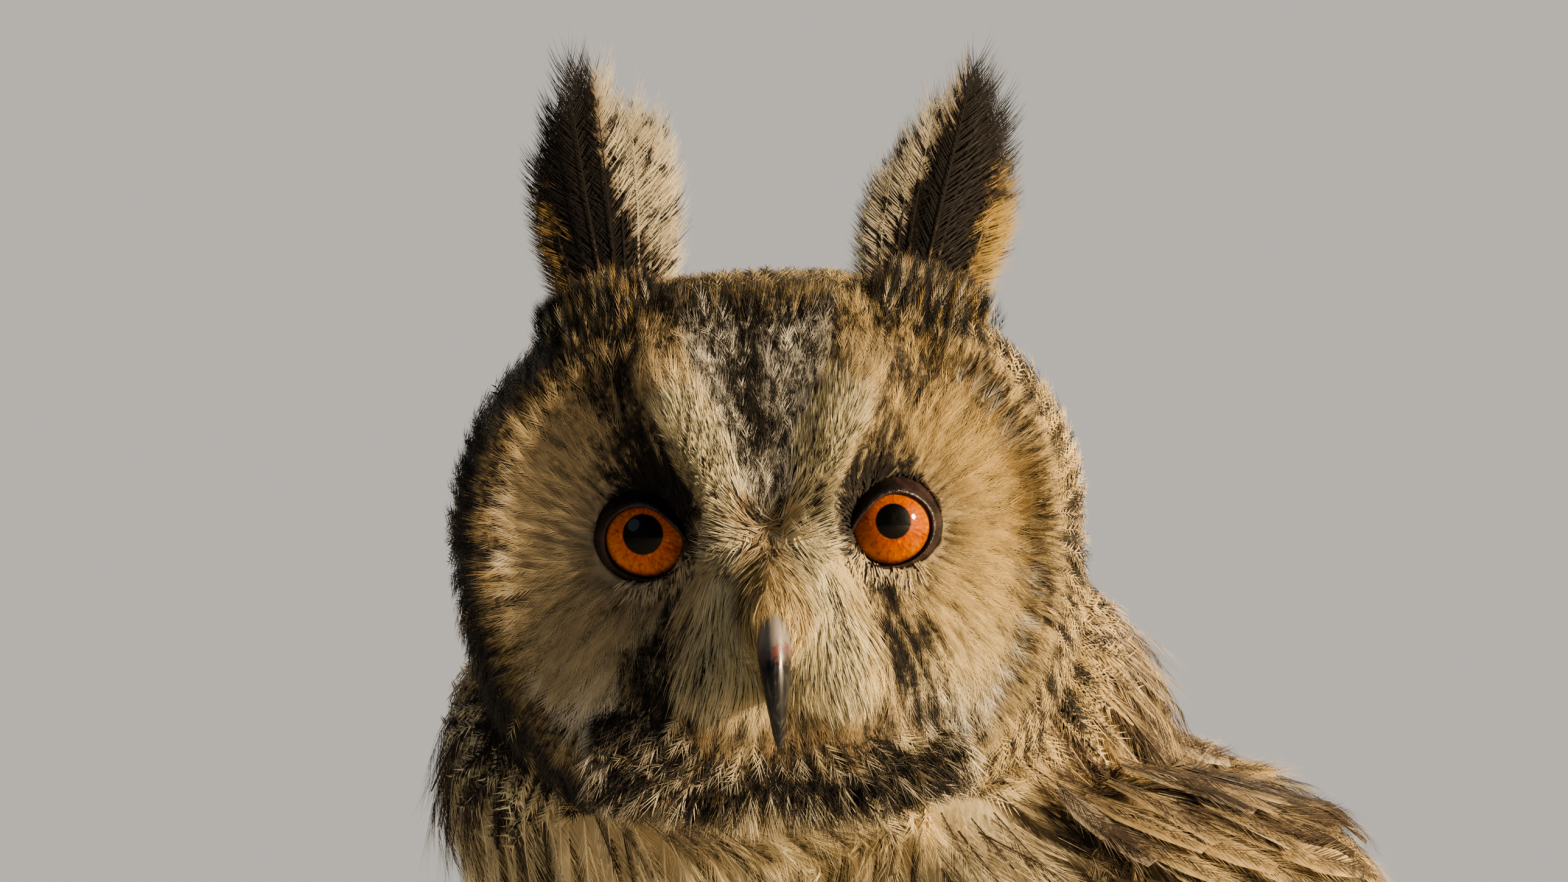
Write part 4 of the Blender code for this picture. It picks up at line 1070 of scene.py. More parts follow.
def horn_material(name, dark, light, gloss, cere=False):
    """Dark horn with fine long streaks and wear, and a pale root with flushed nostrils on a bill."""
    made, n = new_material(name)
    place = n.object_place()
    stretched = n.add("ShaderNodeMapping", {"Vector": place, "Scale": (1.0, 1.0, 0.25)}).outputs[0]
    streaks, wear = n.noise(stretched, 1400.0, 4.0), n.noise(place, 260.0, 3.0)
    colour = n.mix(n.ramp(streaks, 0.45, 0.75, 0.0, 0.7), dark, light)
    colour = n.mix(n.ramp(wear, 0.55, 0.75, 0.0, 0.35), colour, light)
    if cere:
        height = n.add("ShaderNodeSeparateXYZ", {"Vector": place}).outputs["Z"]
        uneven = n.math("ADD", height, n.math("MULTIPLY", n.noise(place, 500.0), 0.0030))
        end = HEAD.translation.z + CERE_SKIN_END
        blotches = n.ramp(n.noise(place, 620.0, 2.0), 0.50, 0.60, 0.0, 0.85)
        from_end, to_root = n.ramp(uneven, end, end + 0.0012), n.ramp(uneven, end + 0.0040, end + 0.0026)
        near_end = n.math("MULTIPLY", from_end, to_root)
        colour = n.mix(n.ramp(uneven, end, end + 0.0050, 0.0, 0.85), colour, CERE_SKIN)
        colour = n.mix(n.math("MULTIPLY", blotches, near_end), colour, CERE_FLUSH)
    roughness = n.ramp(wear, 0.3, 0.7, gloss, gloss + 0.18)
    n.finish({"Base Color": colour, "Roughness": roughness}, streaks, 0.35)
    return made


def lid_material():
    """Bare dark skin with fine wrinkles, a little wet."""
    made, n = new_material("lid_skin")
    place = n.object_place()
    wrinkles, blush = n.noise(place, 1600.0, 4.0, 0.6), n.noise(place, 300.0)
    colour = n.mix(n.ramp(blush, 0.4, 0.7), *LID_TONES)
    roughness = n.ramp(wrinkles, 0.3, 0.7, 0.22, 0.42)
    n.finish({"Base Color": colour, "Roughness": roughness}, wrinkles, 0.6, 0.0003)
    return made


# Pieces of the head
def make_eye(name, side, pupil, depth):
    """The eyeball with its bulging front, as one closed form of revolution."""
    def shape(ball):
        inner = CORNEA_FORWARD * ball[:, 2]
        front = inner + np.sqrt(np.maximum(0, inner**2 - CORNEA_FORWARD**2 + CORNEA_RADIUS**2))
        radius = np.where(ball[:, 2] > 0, np.maximum(front, EYE_RADIUS), EYE_RADIUS)
        x, z, forward = (ball * radius[:, None]).T
        return placed(eye_frame(side), joined(x, -forward, z))

    eye = thing_from(shaped_ball(64, 64, shape), "eyeball_" + name)
    finished(eye, "eye", eye_material("iris_" + name, side, pupil, depth), "eye_" + name)


# The lids from their edge on the eye outward: share of the opening, height over the eye's
# front, and how far the place has sunk to the skin
LID_PROFILE = np.array([
    (0.95, 0.0000, 0), (0.965, 0.0008, 0), (1.00, 0.0013, 0), (1.06, 0.0016, 0), (1.12, 0.0014, 0.15),
    (1.19, 0.0010, 0.55), (1.26, 0.0004, 1.1), (1.34, 0.0000, 2.2), (1.42, 0.0000, 3.6),
])
SKIN_BEFORE_EYE = 0.0060


def make_lids(name, side, material):
    """Both lids as a rolled rim round the opening that slopes back under the feathers."""
    def shape(across, up):
        around = across * math.pi
        row = np.rint((up + 1) / 2 * (len(LID_PROFILE) - 1)).astype(int)
        scale, rise, sunk = LID_PROFILE[row].T
        upper = np.maximum(0, np.sin(around))
        thick = 1 + 0.10 * np.sin(around) * (scale > 1.0) + 0.40 * upper * smooth_step(1.1, 1.42, scale)
        frown = 1 - 0.15 * bump(around - math.pi * (0.5 + 0.22 * side), 0.62)
        corner = bump(np.abs(around) - (0 if side < 0 else math.pi), 0.35) * smooth_step(0.95, 1.1, scale)
        x = LID_HALF_WIDTH * scale * frown * np.cos(around) - side * 0.0011 * corner
        z = LID_HALF_HEIGHT * scale * frown * thick * np.sin(around)
        c, s = math.cos(side * LID_TILT), math.sin(side * LID_TILT)
        x, z = x * c - z * s, x * s + z * c - LID_DROP
        reach = np.minimum(np.hypot(x, z), 0.0070)
        front = CORNEA_FORWARD + np.sqrt(CORNEA_RADIUS**2 - reach**2) + rise
        crease = 0.00015 * np.sin(around * 5 + side) * (scale > 1.05) * (scale < 1.3)
        over_ball = np.sqrt(np.maximum(0, (EYE_RADIUS + 0.0003) ** 2 - x**2 - z**2))
        sloped = front + (SKIN_BEFORE_EYE - 0.0004 - front) * sunk + crease
        return placed(eye_frame(side), joined(x, -np.maximum(sloped, over_ball), z))

    bm = shaped_grid(72, len(LID_PROFILE) - 1, shape)
    bmesh.ops.remove_doubles(bm, verts=bm.verts, dist=1e-6)
    bmesh.ops.recalc_face_normals(bm, faces=bm.faces[:])
    lids = thing_from(bm, "eyelids_" + name)
    modify(lids, "SUBSURF", levels=1, render_levels=1)
    finished(lids, "lid", material, "lids_" + name)


def bill_shape(line, ridge):
    """A bill half: a tapering tube with a ridge and dented nostrils, as a shape for shaped_ball."""
    rows = np.array([(0, y, z, radius) for y, z, radius in line])

    def shape(ball):
        around, middle, reach, ahead, up = tube_frame(rows, ball, (-1.0, 0, 0), 10)
        top = np.sin(around)
        narrow = BILL_NARROWING * (1 - ridge * np.maximum(0, top) ** 2)
        points = middle + reach * (np.array((1.0, 0, 0)) * (np.cos(around) * narrow) + top * up)
        for flank in SIDES.values():
            off = np.linalg.norm(points - np.array(NOSTRIL_PLACE) * (flank, 1, 1), axis=1)
            points[:, 0] -= flank * NOSTRIL_SIZE * bump(off, NOSTRIL_SIZE)
        return placed(HEAD, points)

    return shape


def make_bill():
    horn = horn_material("bill_horn", (0.010, 0.010, 0.011), (0.10, 0.095, 0.09), 0.22, cere=True)
    upper = thing_from(shaped_ball(48, 72, bill_shape(BILL_LINE, 0.30)), "bill_top")
    finished(upper, "horn", horn, "bill_upper")
    lower = thing_from(shaped_ball(32, 40, bill_shape(LOWER_BILL_LINE, 0.0)), "bill_under")
    finished(lower, "horn", horn, "bill_lower")


def make_claws():
    horn = horn_material("claw_horn", (0.012, 0.010, 0.009), (0.09, 0.075, 0.06), 0.25)
    for name, side in SIDES.items():
        for toe, (heading, length) in TOES.items():
            start = length - 0.001
            rows = [(start + CLAW_LENGTH * run, 0, z, CLAW_RADIUS * size) for run, z, size in CLAW_SHAPE]
            shape = tube_shape(rows, toe_frame(side, heading), 0.85, (0, 1.0, 0))
            claw = thing_from(shaped_ball(16, 20, shape), f"talon_{name}_{toe}")
            finished(claw, "horn", horn, f"claw_{name}_{toe}")


def make_disc(ground, name, side, material):
    """The hair-like feathers of one facial disc, in fine herringbones that spread from the eye."""
    def weight(points):
        x, y, z = on_face(points)
        keep = (face_share(points)[0] < 0.875) * (y < 0) * (eye_ring(x, z) > 1) * (x * side > -0.5)
        below = smooth_step(-41, -39, z + 6 * smooth_step(22, 26, np.abs(x)))
        inner = 1.6 - smooth_step(8, 22, np.abs(x)) * 0.6
        return keep * head_mask(points) * inner * below * (1 - 0.8 * chin_mask(x, z))

    coat = Coat(head_unwrap)
    for variant in range(DISC_SHAPES):
        roots, normals = ground.sow(weight, DISC_FEATHERS // DISC_SHAPES)
        count = len(roots)
        x, y, z = on_face(roots)
        sway = 0.16 * wave_field(roots, 0.012, 21) + RNG.normal(0, 0.10, count)
        headings = spun(head_lie(roots, normals), normals, sway)
        from_eye = np.clip(np.hypot(x - side * 19.5, z), 6, 30)
        lengths = (2.9 + 0.22 * from_eye) / MM * RNG.uniform(0.8, 1.2, count)
        share, around = face_share(roots)
        room = (0.905 - share) * head_outline(around)
        lengths = np.minimum(lengths, np.maximum(0.0030, room * RNG.uniform(0.9, 1.25, count)))
        lift = (0.0003, RNG.uniform(0.0009, 0.0022, count))
        shafts, ups = lay(ground, roots, normals, headings, lengths, head_lie, lift, steps=4)
        base, tip, ink = marks(roots)
        base_tip, tip_tip, ink_tip = marks(shafts[:, -1])
        ink = (ink + ink_tip) / 2 + RNG.normal(0, 0.17, count)
        paint = painted((base + base_tip) / 2, tip_tip, np.clip(ink, 0, 1), root_shade=0.36)
        shape = barbed(12, 0.42, 0.035, 31 + variant)
        coat.grow(shape, shafts, ups, lengths * RNG.uniform(0.13, 0.20, count), lengths * 0.10, paint)
    coat.piece(f"disc_{name}", "plumage", material)


def grow_hairs(coat, ground, count, weight, lie, length, width, lift, spread, seed, ink_shift=0.0):
    """Single hairs, as long, wide and lifted as said, that leave the eyes and the bib clear."""
    roots, normals = ground.sow(weight, count)
    sway = spread * wave_field(roots, 0.006, seed) + RNG.normal(0, spread * 0.6, count)
    headings = spun(lie(roots, normals), normals, sway)
    lengths = RNG.uniform(*length, count)
    x, y, z = on_face(roots)
    room = np.maximum(2.0, past_crescent(x, z) * 8.5 + 1.0) / MM
    lengths = np.where(z > -4, np.minimum(lengths, room), lengths)
    past_top = RNG.uniform(-0.0005, 0.0030, count) - 0.004 * bump(x, 5)
    lengths = np.minimum(lengths, np.maximum(0.003, (z - chin_top(x)) / MM + past_top))
    high = (0.0004, RNG.uniform(*lift, count))
    shafts, ups = lay(ground, roots, normals, headings, lengths, lie, high, 4, 0.75)
    base, tip, ink = marks(roots)
    paint = painted(base, tip, np.clip(ink + ink_shift + RNG.normal(0, 0.08, count), 0, 1), root_shade=0.6)
    coat.grow(BLADE, shafts, ups, RNG.uniform(*width, count), 0.0, paint, RNG.uniform(-0.5, 0.5, count))


def make_pale_cross(ground, material):
    """The pale brows and the long bristles either side of the bill."""
    def brows(points):
        x, y, z = on_face(points)
        arms = stroke(abs(x), z, (3.2, -3), (7.0, 8), 2.3) + stroke(abs(x), z, (7.0, 8), (11.0, 14.5), 2.8)
        return arms * (y < -10) * (past_crescent(x, z) > 0.05)

    def moustache(points):
        x, y, z = on_face(points)
        beside_bill = stroke(abs(x), z, (4.0, -4), (5.5, -14), 3.6) + 0.5 * moustache_mask(x, z)
        return beside_bill * (y < -10) * (z > -22)

    def nose(points):
        x, y, z = on_face(points)
        return nose_mask(x, z) * (y < -10)

    def dark_skin(points):
        x, y, z = on_face(points)
        past = past_crescent(x, z)
        return (past < 0.1) * (past > -1.2) * (y < -10) * (abs(x) < 24)

    def upward(points, normals):
        x, y, z = on_face(points)
        aside = np.sign(x) * (0.75 - 0.02 * np.clip(z, 0, 20))
        return tangent(HEAD, unit(joined(aside, 0, 0.25 + 0.11 * np.clip(z + 3, 0, 12))), normals)

    def fan(points, normals):
        x, y, z = on_face(points)
        aside = np.sign(x) * (0.20 + 0.012 * abs(x))
        return tangent(HEAD, unit(joined(aside, -0.25, -1.0)), normals)

    coat = Coat(head_unwrap)
    pale, dark = (0.00011, 0.00021), (0.00008, 0.00015)
    # Count, place, lie, lengths, half widths, lifts, spread, seed and how much darker
    for row in (
        (15000, brows, upward, (0.0045, 0.0090), pale, (0.0012, 0.0030), 0.20, 41),
        (25000, moustache, fan, (0.0065, 0.0120), pale, (0.0010, 0.0036), 0.17, 42),
        (3600, nose, head_lie, (0.0030, 0.0060), pale, (0.0006, 0.0016), 0.25, 45),
        (7000, dark_skin, head_lie, (0.0020, 0.0030), pale, (0.0003, 0.0010), 0.30, 46, 0.2),
        (1300, brows, upward, (0.006, 0.010), dark, (0.0026, 0.0038), 0.20, 43, 0.9),
        (1300, moustache, fan, (0.008, 0.013), dark, (0.0030, 0.0044), 0.15, 44, 0.9),
    ):
        grow_hairs(coat, ground, *row)
    coat.piece("pale_cross", "plumage", material)


def grow_feathers(coat, ground, where, weight, lie, lengths, slim, lift, shapes, streak=0.0, bars=0.0,
                  sway=0.08, painted_at=2, pale_share=0.0, root_shade=0.5):
    """Small feathers sown by weight, shared out among a few shapes, marked as one step of their length is.

    Lengths is a pair of limits, or a function of the roots. A streak "as marked" is on most feathers only.
    """
    roots, normals = ground.sow(weight, *SOWN[where])
    lengths = lengths(roots) if callable(lengths) else RNG.uniform(*lengths, len(roots))
    if streak == "as marked":
        streak = body_marks(roots)[3] * (RNG.random(len(roots)) < STREAKED_SHARE)
    streak = np.broadcast_to(streak, len(roots))
    for variant, shape in enumerate(shapes):
        picked = np.arange(variant, len(roots), len(shapes))
        count, spots, ups, reach = len(picked), roots[picked], normals[picked], lengths[picked]
        headings = spun(lie(spots, ups), ups, RNG.normal(0, sway, count))
        high = (0.0004, RNG.uniform(*lift, count))
        shafts, tops = lay(ground, spots, ups, headings, reach, lie, high, 5, 0.7)
        base, tip, ink = marks(shafts[:, painted_at])
        light = (RNG.random(count) < pale_share) * 1.0
        tip, ink = blend(tip, PALE, light), ink * (1 - 0.75 * light)
        paint = painted(base, tip, ink, streak[picked], bars, root_shade)
        half_width = reach * RNG.uniform(*slim, count)
        coat.grow(shape, shafts, tops, half_width, reach * 0.25, paint, RNG.normal(0, 0.12, count))


def alike(count, seed, *sizes, **settings):
    """A few feather shapes of one kind."""
    return [barbed(*sizes, seed + k, **settings) for k in range(count)]


def make_forehead(ground, material):
    """The mottled wedge over the bill, and the crown as far as the ear tufts."""
    def weight(points):
        x, y, z = on_face(points)
        return np.maximum(forehead_mask(x, z) * (y < 0), smooth_step(24, 30, z) * (y < 22))

    coat = Coat(head_unwrap)
    shapes = alike(3, 50, 11, 0.30, 0.05)
    grow_feathers(coat, ground, "forehead", weight, head_lie, (0.0042, 0.0068), (0.20, 0.30),
                  (0.0010, 0.0026), shapes, streak=0.25, sway=0.25)
    coat.piece("forehead", "plumage", material)


def make_chin(ground, material):
    """The dark bib under the bill."""
    def weight(points):
        x, y, z = on_face(points)
        return chin_mask(x, z) * (y < 0)

    def lengths(roots):
        room = local(HEAD, roots)[:, 2] + RNG.uniform(0.0450, 0.0475, len(roots))
        return np.clip(room, 0.0035, RNG.uniform(0.0055, 0.0095, len(roots)))

    coat = Coat(head_unwrap)
    shapes = alike(3, 60, 11, 0.30, 0.05)
    grow_feathers(coat, ground, "chin", weight, head_lie, lengths, (0.16, 0.26), (0.0012, 0.0036),
                  shapes, streak=0.1, sway=0.22, painted_at=0, pale_share=0.16)
    coat.piece("chin_bib", "plumage", material)


def make_ruff(ground, material):
    """Stiff short feathers round the rim of the face, and the sides and back of the head behind them."""
    def rim(points):
        near_rim = np.abs(face_share(points)[0] - 0.935) < 0.065
        return near_rim * (on_face(points)[1] < 4) * head_mask(points)

    def rest(points):
        return (on_face(points)[1] > -6) * head_mask(points)

    coat = Coat(head_unwrap)
    shapes = alike(3, 70, 8, 0.25, 0.06)
    grow_feathers(coat, ground, "rim", rim, head_lie, (0.0045, 0.0080), (0.16, 0.24), (0.0010, 0.0030),
                  shapes, streak=0.2, sway=0.2)
    shapes = alike(3, 80, 12, 0.22, 0.05, web=0.8)
    grow_feathers(coat, ground, "nape", rest, head_lie, (0.010, 0.014), (0.24, 0.34), (0.0010, 0.0026),
                  shapes, streak=0.45, bars=0.25)
    coat.piece("ruff_and_nape", "plumage", material)


def tuft_paint(name, side, length, x, z):
    """A paint for places on the flat tuft: dark, pale on the inner edge and gold low on the outer one."""
    pale_from, pale_run, gold_share = TUFT_MARKS[name]

    def paint(u, v):
        across, run = -side * x, np.clip(z / length, 0, 1)
        start = pale_from * np.maximum(0, 1 - run / pale_run) ** 1.2
        pale = smooth_step(start, start + 0.0016, across)
        noise = wave_field(joined(across, 0.7 * z, 0).reshape(-1, 3), 0.0021, 91).reshape(across.shape)
        outer = smooth_step(-0.0056, -0.0090, across + 0.0011 * noise)
        gold = smooth_step(0.80, 0.30, run) * outer * gold_share
        low = smooth_step(0.30, 0.05, run) * (noise > 0.2)
        colour = np.broadcast_to(BROWN, (*x.shape, 3))
        for over, mask in ((PALE, pale), (DEEP_GOLD, gold), (TAN, low * 0.8 * (1 - pale))):
            colour = blend(colour, over, mask)
        dark = 0.80 * (1 - pale) * (1 - gold) * (1 - 0.7 * low) + gold * (0.16 + 0.4 * (noise > 0.45))
        return with_dark(colour, dark + pale * (0.06 + 0.70 * smooth_step(0.50, 0.80, noise)))

    return paint


def grow_tuft_root(coat, ground, root, lean):
    """Short dark feathers that rise from the crown over the foot of a tuft."""
    def weight(points):
        x, y, z = on_face(points)
        return blob(x, z, (root.x * MM, 31.2), (10.5, 3.8)) * (np.abs(y + 10) < 16)

    roots, normals = ground.sow(weight, *SOWN["tuft"])
    lengths = RNG.uniform(0.0034, 0.0078, len(roots))
    rise = joined(math.sin(lean) + 14 * (local(HEAD, roots)[:, 0] - root.x), 0.1, 1.0)
    headings = unit(turned(HEAD, rise) + 0.22 * normals)
    steps = np.linspace(0, 1, 5)[None, :, None]
    shafts = roots[:, None] + headings[:, None] * lengths[:, None, None] * steps
    ups = np.broadcast_to(turned(HEAD, np.array((0, -1.0, 0))), shafts.shape)
    tones = np.array((BROWN, DEEP_GOLD, TAN, PALE))[RNG.choice(4, len(roots), p=(0.80, 0.06, 0.08, 0.06))]
    paint = painted(tones, tones * 1.2, np.where(tones[:, 0] < 0.2, 0.80, 0.30))
    roll = RNG.normal(0, 0.3, len(roots))
    coat.grow(barbed(8, 0.34, 0.06, 300), shafts, ups, 0.0008, 0.0006, paint, roll)


def make_tuft(ground, name, side, material):
    """An ear tuft: long barbed feathers in a fan, in layers from front to back."""
    root, tip = TUFT_ROOTS[name], TUFT_TIPS[name]
    lean = math.atan2(tip.x - root.x, tip.z - root.z)
    length = (tip - root).length
    place = HEAD @ Matrix.Translation(root) @ Matrix.Rotation(lean, 4, "Y")
    place = place @ Matrix.Rotation(math.atan2(root.y - tip.y, length), 4, "X")
    coat = Coat(head_unwrap)
    run = np.linspace(0, 1, 7)
    for layer in range(TUFT_LAYERS):
        asides = np.linspace(-1, 1, TUFT_FEATHERS) + RNG.uniform(-0.12, 0.12, TUFT_FEATHERS)
        inner = -side * asides
        if side < 0:
            inward, outward = 0.16 + 0.20 * np.abs(inner - 0.55) ** 1.2, 0.38 * np.abs(inner + 0.12) ** 1.8
            shorter = np.where(inner > 0.15, inward, outward)
        else:
            shorter = np.where(inner > 0, 0.05 + 0.42 * np.abs(inner) ** 1.3, 0.34 * np.abs(inner) ** 2.0)
        uneven = RNG.uniform(0.90, 1.0, TUFT_FEATHERS)
        reaches = 0.93 * length * (1 - shorter) * uneven * (1 - 0.05 * (layer % 3))
        behind = 0.0008 * layer + RNG.uniform(0, 0.0004, TUFT_FEATHERS)
        u, v, h, faces = barbed(96, 0.14, 0.0062, 100 + layer, curved=True, loose=0.04, first=0.02)
        sway = np.random.default_rng(200 + layer).normal(0, 0.0007, (TUFT_FEATHERS, 1)) * run**2
        x = asides[:, None] * (0.0045 + 0.0048 * np.sin(run * math.pi / 2)) + sway
        y = 0.18 * np.abs(x) + behind[:, None] - 0.0004 + 0.0018 * run**2
        z = -0.004 + (reaches[:, None] + 0.004) * run
        shafts = joined(x, y, z)
        ups = np.broadcast_to(np.array((0, -1.0, 0)), shafts.shape)
        half_width = 0.0045 - 0.0002 * layer
        i = np.clip((u * 6).astype(int), 0, 5)
        flat_x, flat_z = (line[:, i] * (1 - u * 6 + i) + line[:, i + 1] * (u * 6 - i) for line in (x, z))
        paint = tuft_paint(name, side, length, flat_x + v * half_width, flat_z)
        coat.grow((u, v, h, faces), placed(place, shafts), turned(place, ups), half_width, 0.004, paint)
    grow_tuft_root(coat, ground, root, lean)
    coat.piece(f"tuft_{name}", "dark_plumage", material, "ear_tuft_" + name)


def under_wing(points):
    """1 where the large wing feathers cover the body."""
    t, angle = body_station(points)
    upper, lower = wing_edges(wing_share(t))
    angle = np.abs(angle)
    inside = smooth_step(lower + 0.05, lower - 0.10, angle) * smooth_step(upper - 0.12, upper + 0.05, angle)
    return inside * smooth_step(3.2, 4.0, t)


def make_neck(ground, material):
    """Loose streaked feathers round the neck and on the breast, which a portrait shows."""
    def weight(points):
        return (1 - head_mask(points)) * smooth_step(-0.098, -0.085, local(HEAD, points)[:, 2])

    coat = Coat(body_unwrap)
    shapes = alike(4, 120, 36, 0.40, 0.014, web=0.22, loose=0.20)
    grow_feathers(coat, ground, "neck", weight, body_lie, (0.012, 0.021), (0.13, 0.19), (0.0026, 0.0058),
                  shapes, streak="as marked", bars=0.12, sway=0.16, root_shade=0.9)
    coat.piece("neck_feathers", "plumage", material)


def make_body(ground, material):
    """Longer feathers over the rest of the body, where the wings leave it open."""
    def weight(points):
        z = local(BODY, points)[:, 2]
        lower = smooth_step(-0.080, -0.088, local(HEAD, points)[:, 2])
        return (1 - head_mask(points)) * lower * (z > 0.06) * (1 - under_wing(points))

    def lengths(roots):
        low = np.interp(local(BODY, roots)[:, 2], (0.06, 0.10, 0.15), (1.35, 1.15, 1.0))
        return RNG.uniform(0.022, 0.032, len(roots)) * low

    coat = Coat(body_unwrap)
    shapes = alike(4, 140, 46, 0.34, 0.012, web=0.45, loose=0.14)
    grow_feathers(coat, ground, "body", weight, body_lie, lengths, (0.18, 0.25), (0.0020, 0.0060),
                  shapes, streak="as marked", bars=0.12)
    coat.piece("body_feathers", "plumage", material)


def make_legs(ground, material):
    """Short soft feathers down the legs and over the toes."""
    def weight(points):
        x, y, z = local(BODY, points).T
        return (z < 0.082) * (z > 0.0035) * (y < 0.045)

    def lie(points, normals):
        x, y, z = local(BODY, points).T
        low = smooth_step(0.016, 0.009, z)
        over_toes = (x - np.sign(x) * FOOT[0]) * low * 60, (y - FOOT[1]) * low * 60
        return tangent(BODY, joined(*over_toes, -1.0 + 0.6 * low), normals)

    def lengths(roots):
        high = np.interp(local(BODY, roots)[:, 2], (0.0, 0.015, 0.08), (0.0040, 0.0080, 0.0170))
        return high * RNG.uniform(0.8, 1.2, len(roots))

    coat = Coat(body_unwrap)
    shapes = alike(3, 160, 10, 0.26, 0.05)
    grow_feathers(coat, ground, "legs", weight, lie, lengths, (0.18, 0.26), (0.0012, 0.0036), shapes)
    coat.piece("leg_feathers", "leg_plumage", material)


# Wings and tail
def big_vane(long_steps, wide_steps):
    """A flight feather: a sheet with rounded tip, in rows along and across."""
    lines = np.linspace(0, 1, long_steps + 1), np.linspace(-1, 1, wide_steps + 1)
    run, across = (grid.ravel() for grid in np.meshgrid(*lines, indexing="ij"))
    width = (0.65 + 0.35 * np.minimum(run * 2.5, 1)) * np.maximum(0.12, np.sqrt(np.maximum(0, 1 - run**6)))
    rows = np.arange(len(run)).reshape(long_steps + 1, -1)
    a, b, c, d = rows[:-1, :-1].ravel(), rows[:-1, 1:].ravel(), rows[1:, :-1].ravel(), rows[1:, 1:].ravel()
    faces = np.concatenate([joined(a, b, c), joined(b, d, c)])
    return run - 0.035 * across**2 * run**4, across * width, 0.12 * bump(across, 0.12), faces


# Tiers of large feathers: count, stations of the roots and of the longest and shortest tips,
# angles of the lowest and highest root and tip, rise at the tip, kind of marking
WING_TIERS = (
    (12, 3.4, 8.95, 6.0, (98, 30), (66, 13), 0.0002, "flight"),
    (11, 2.7, 5.3, 4.5, (95, 36), (83, 28), 0.0030, "covert"),
)
COVERT_FIRST, COVERT_LAST, COVERT_ROWS = 0.9, 4.5, 15
STATION_LENGTH = 0.033


def painted_vane(kind, u, v):
    """The colours of a flight feather, with bars and a flush, or large covert, with a streak and a spot."""
    phase = RNG.uniform(0, 1)
    tone = RNG.uniform(0.85, 1.12)
    if kind == "flight":
        colour = np.broadcast_to(DUSTY, (len(u), 3)) * tone
        bars = np.sin((u * 7 + phase) * 2 * math.pi + 0.8 * np.abs(v))
        dark = 0.30 + 0.50 * smooth_step(0.1, 0.7, bars)
        colour = blend(colour, GOLD, smooth_step(0.1, 0.5, v) * smooth_step(0.6, 0.2, u) * 0.6)
    else:
        colour = np.broadcast_to(OCHRE, (len(u), 3)) * tone
        dark = 0.32 + 0.55 * bump(v, 0.22) + 0.28 * np.sin(u * 22 + 9 * np.abs(v) + phase * 6)
        spot = bump(u - 0.78, 0.10) * smooth_step(0.25, 0.6, v)
        colour = blend(colour, PALE, spot * 0.5)
        dark = dark * (1 - 0.6 * spot)
    return with_dark(colour, dark * (0.7 + 0.3 * smooth_step(0.0, 0.3, u)))


def own_patch(cell, u, v, size, step, columns):
    """The part of the map that one large feather has to itself."""
    corner = 0.01 + step * (cell % columns), 0.01 + step * (cell // columns)
    return np.stack([(v + 1) / 2, u], -1) * size + corner


def make_wing(name, side, material):
    """The folded wing: two tiers of large feathers, each lying over the next one below it."""
    coat = Coat()
    u, v, h, faces = big_vane(36, 8)
    for count, root_t, long_t, short_t, roots, tips, rise, kind in WING_TIERS:
        spread = [math.radians(abs(high - low)) / (count - 1) for low, high in (roots, tips)]
        longest = 1 if kind == "flight" else 0
        for index in range(count):
            high = index / (count - 1)
            shorter = abs(index - longest) / (count - 1 - longest) if index >= longest else 0.3
            tip_t = long_t + (short_t - long_t) * shorter**1.15 + RNG.uniform(-0.05, 0.05)
            t = root_t + (tip_t - root_t) * u
            girth = along(WING_ENVELOPE, t)[:, 3:5].mean(1)
            width = np.maximum(0.80 * (spread[0] + (spread[1] - spread[0]) * u), 0.0042 / girth)
            start, end = (np.radians(low + (top - low) * high) for low, top in (roots, tips))
            centre = start + (end - start) * u
            sunk = 0.0060 * np.maximum(0, 1 - u / 0.25)
            lift = arm_height(t, centre) + rise * u - sunk + 0.0013 * (v + 1) / 2 + 0.0010 * h
            angle = np.maximum(centre + v * width, math.radians(3))
            spots = on_body(WING_ENVELOPE, t, angle, np.maximum(0.0007, lift) + 0.0003) * (side, 1, 1)
            patch = own_patch(len(coat.points), u, v, 0.09, 0.1, 9)
            coat.add(placed(BODY, spots), faces[:, ::side], painted_vane(kind, u, v), patch)
    coat.piece(f"folded_wing_{name}", "plumage", material, "wing_" + name)


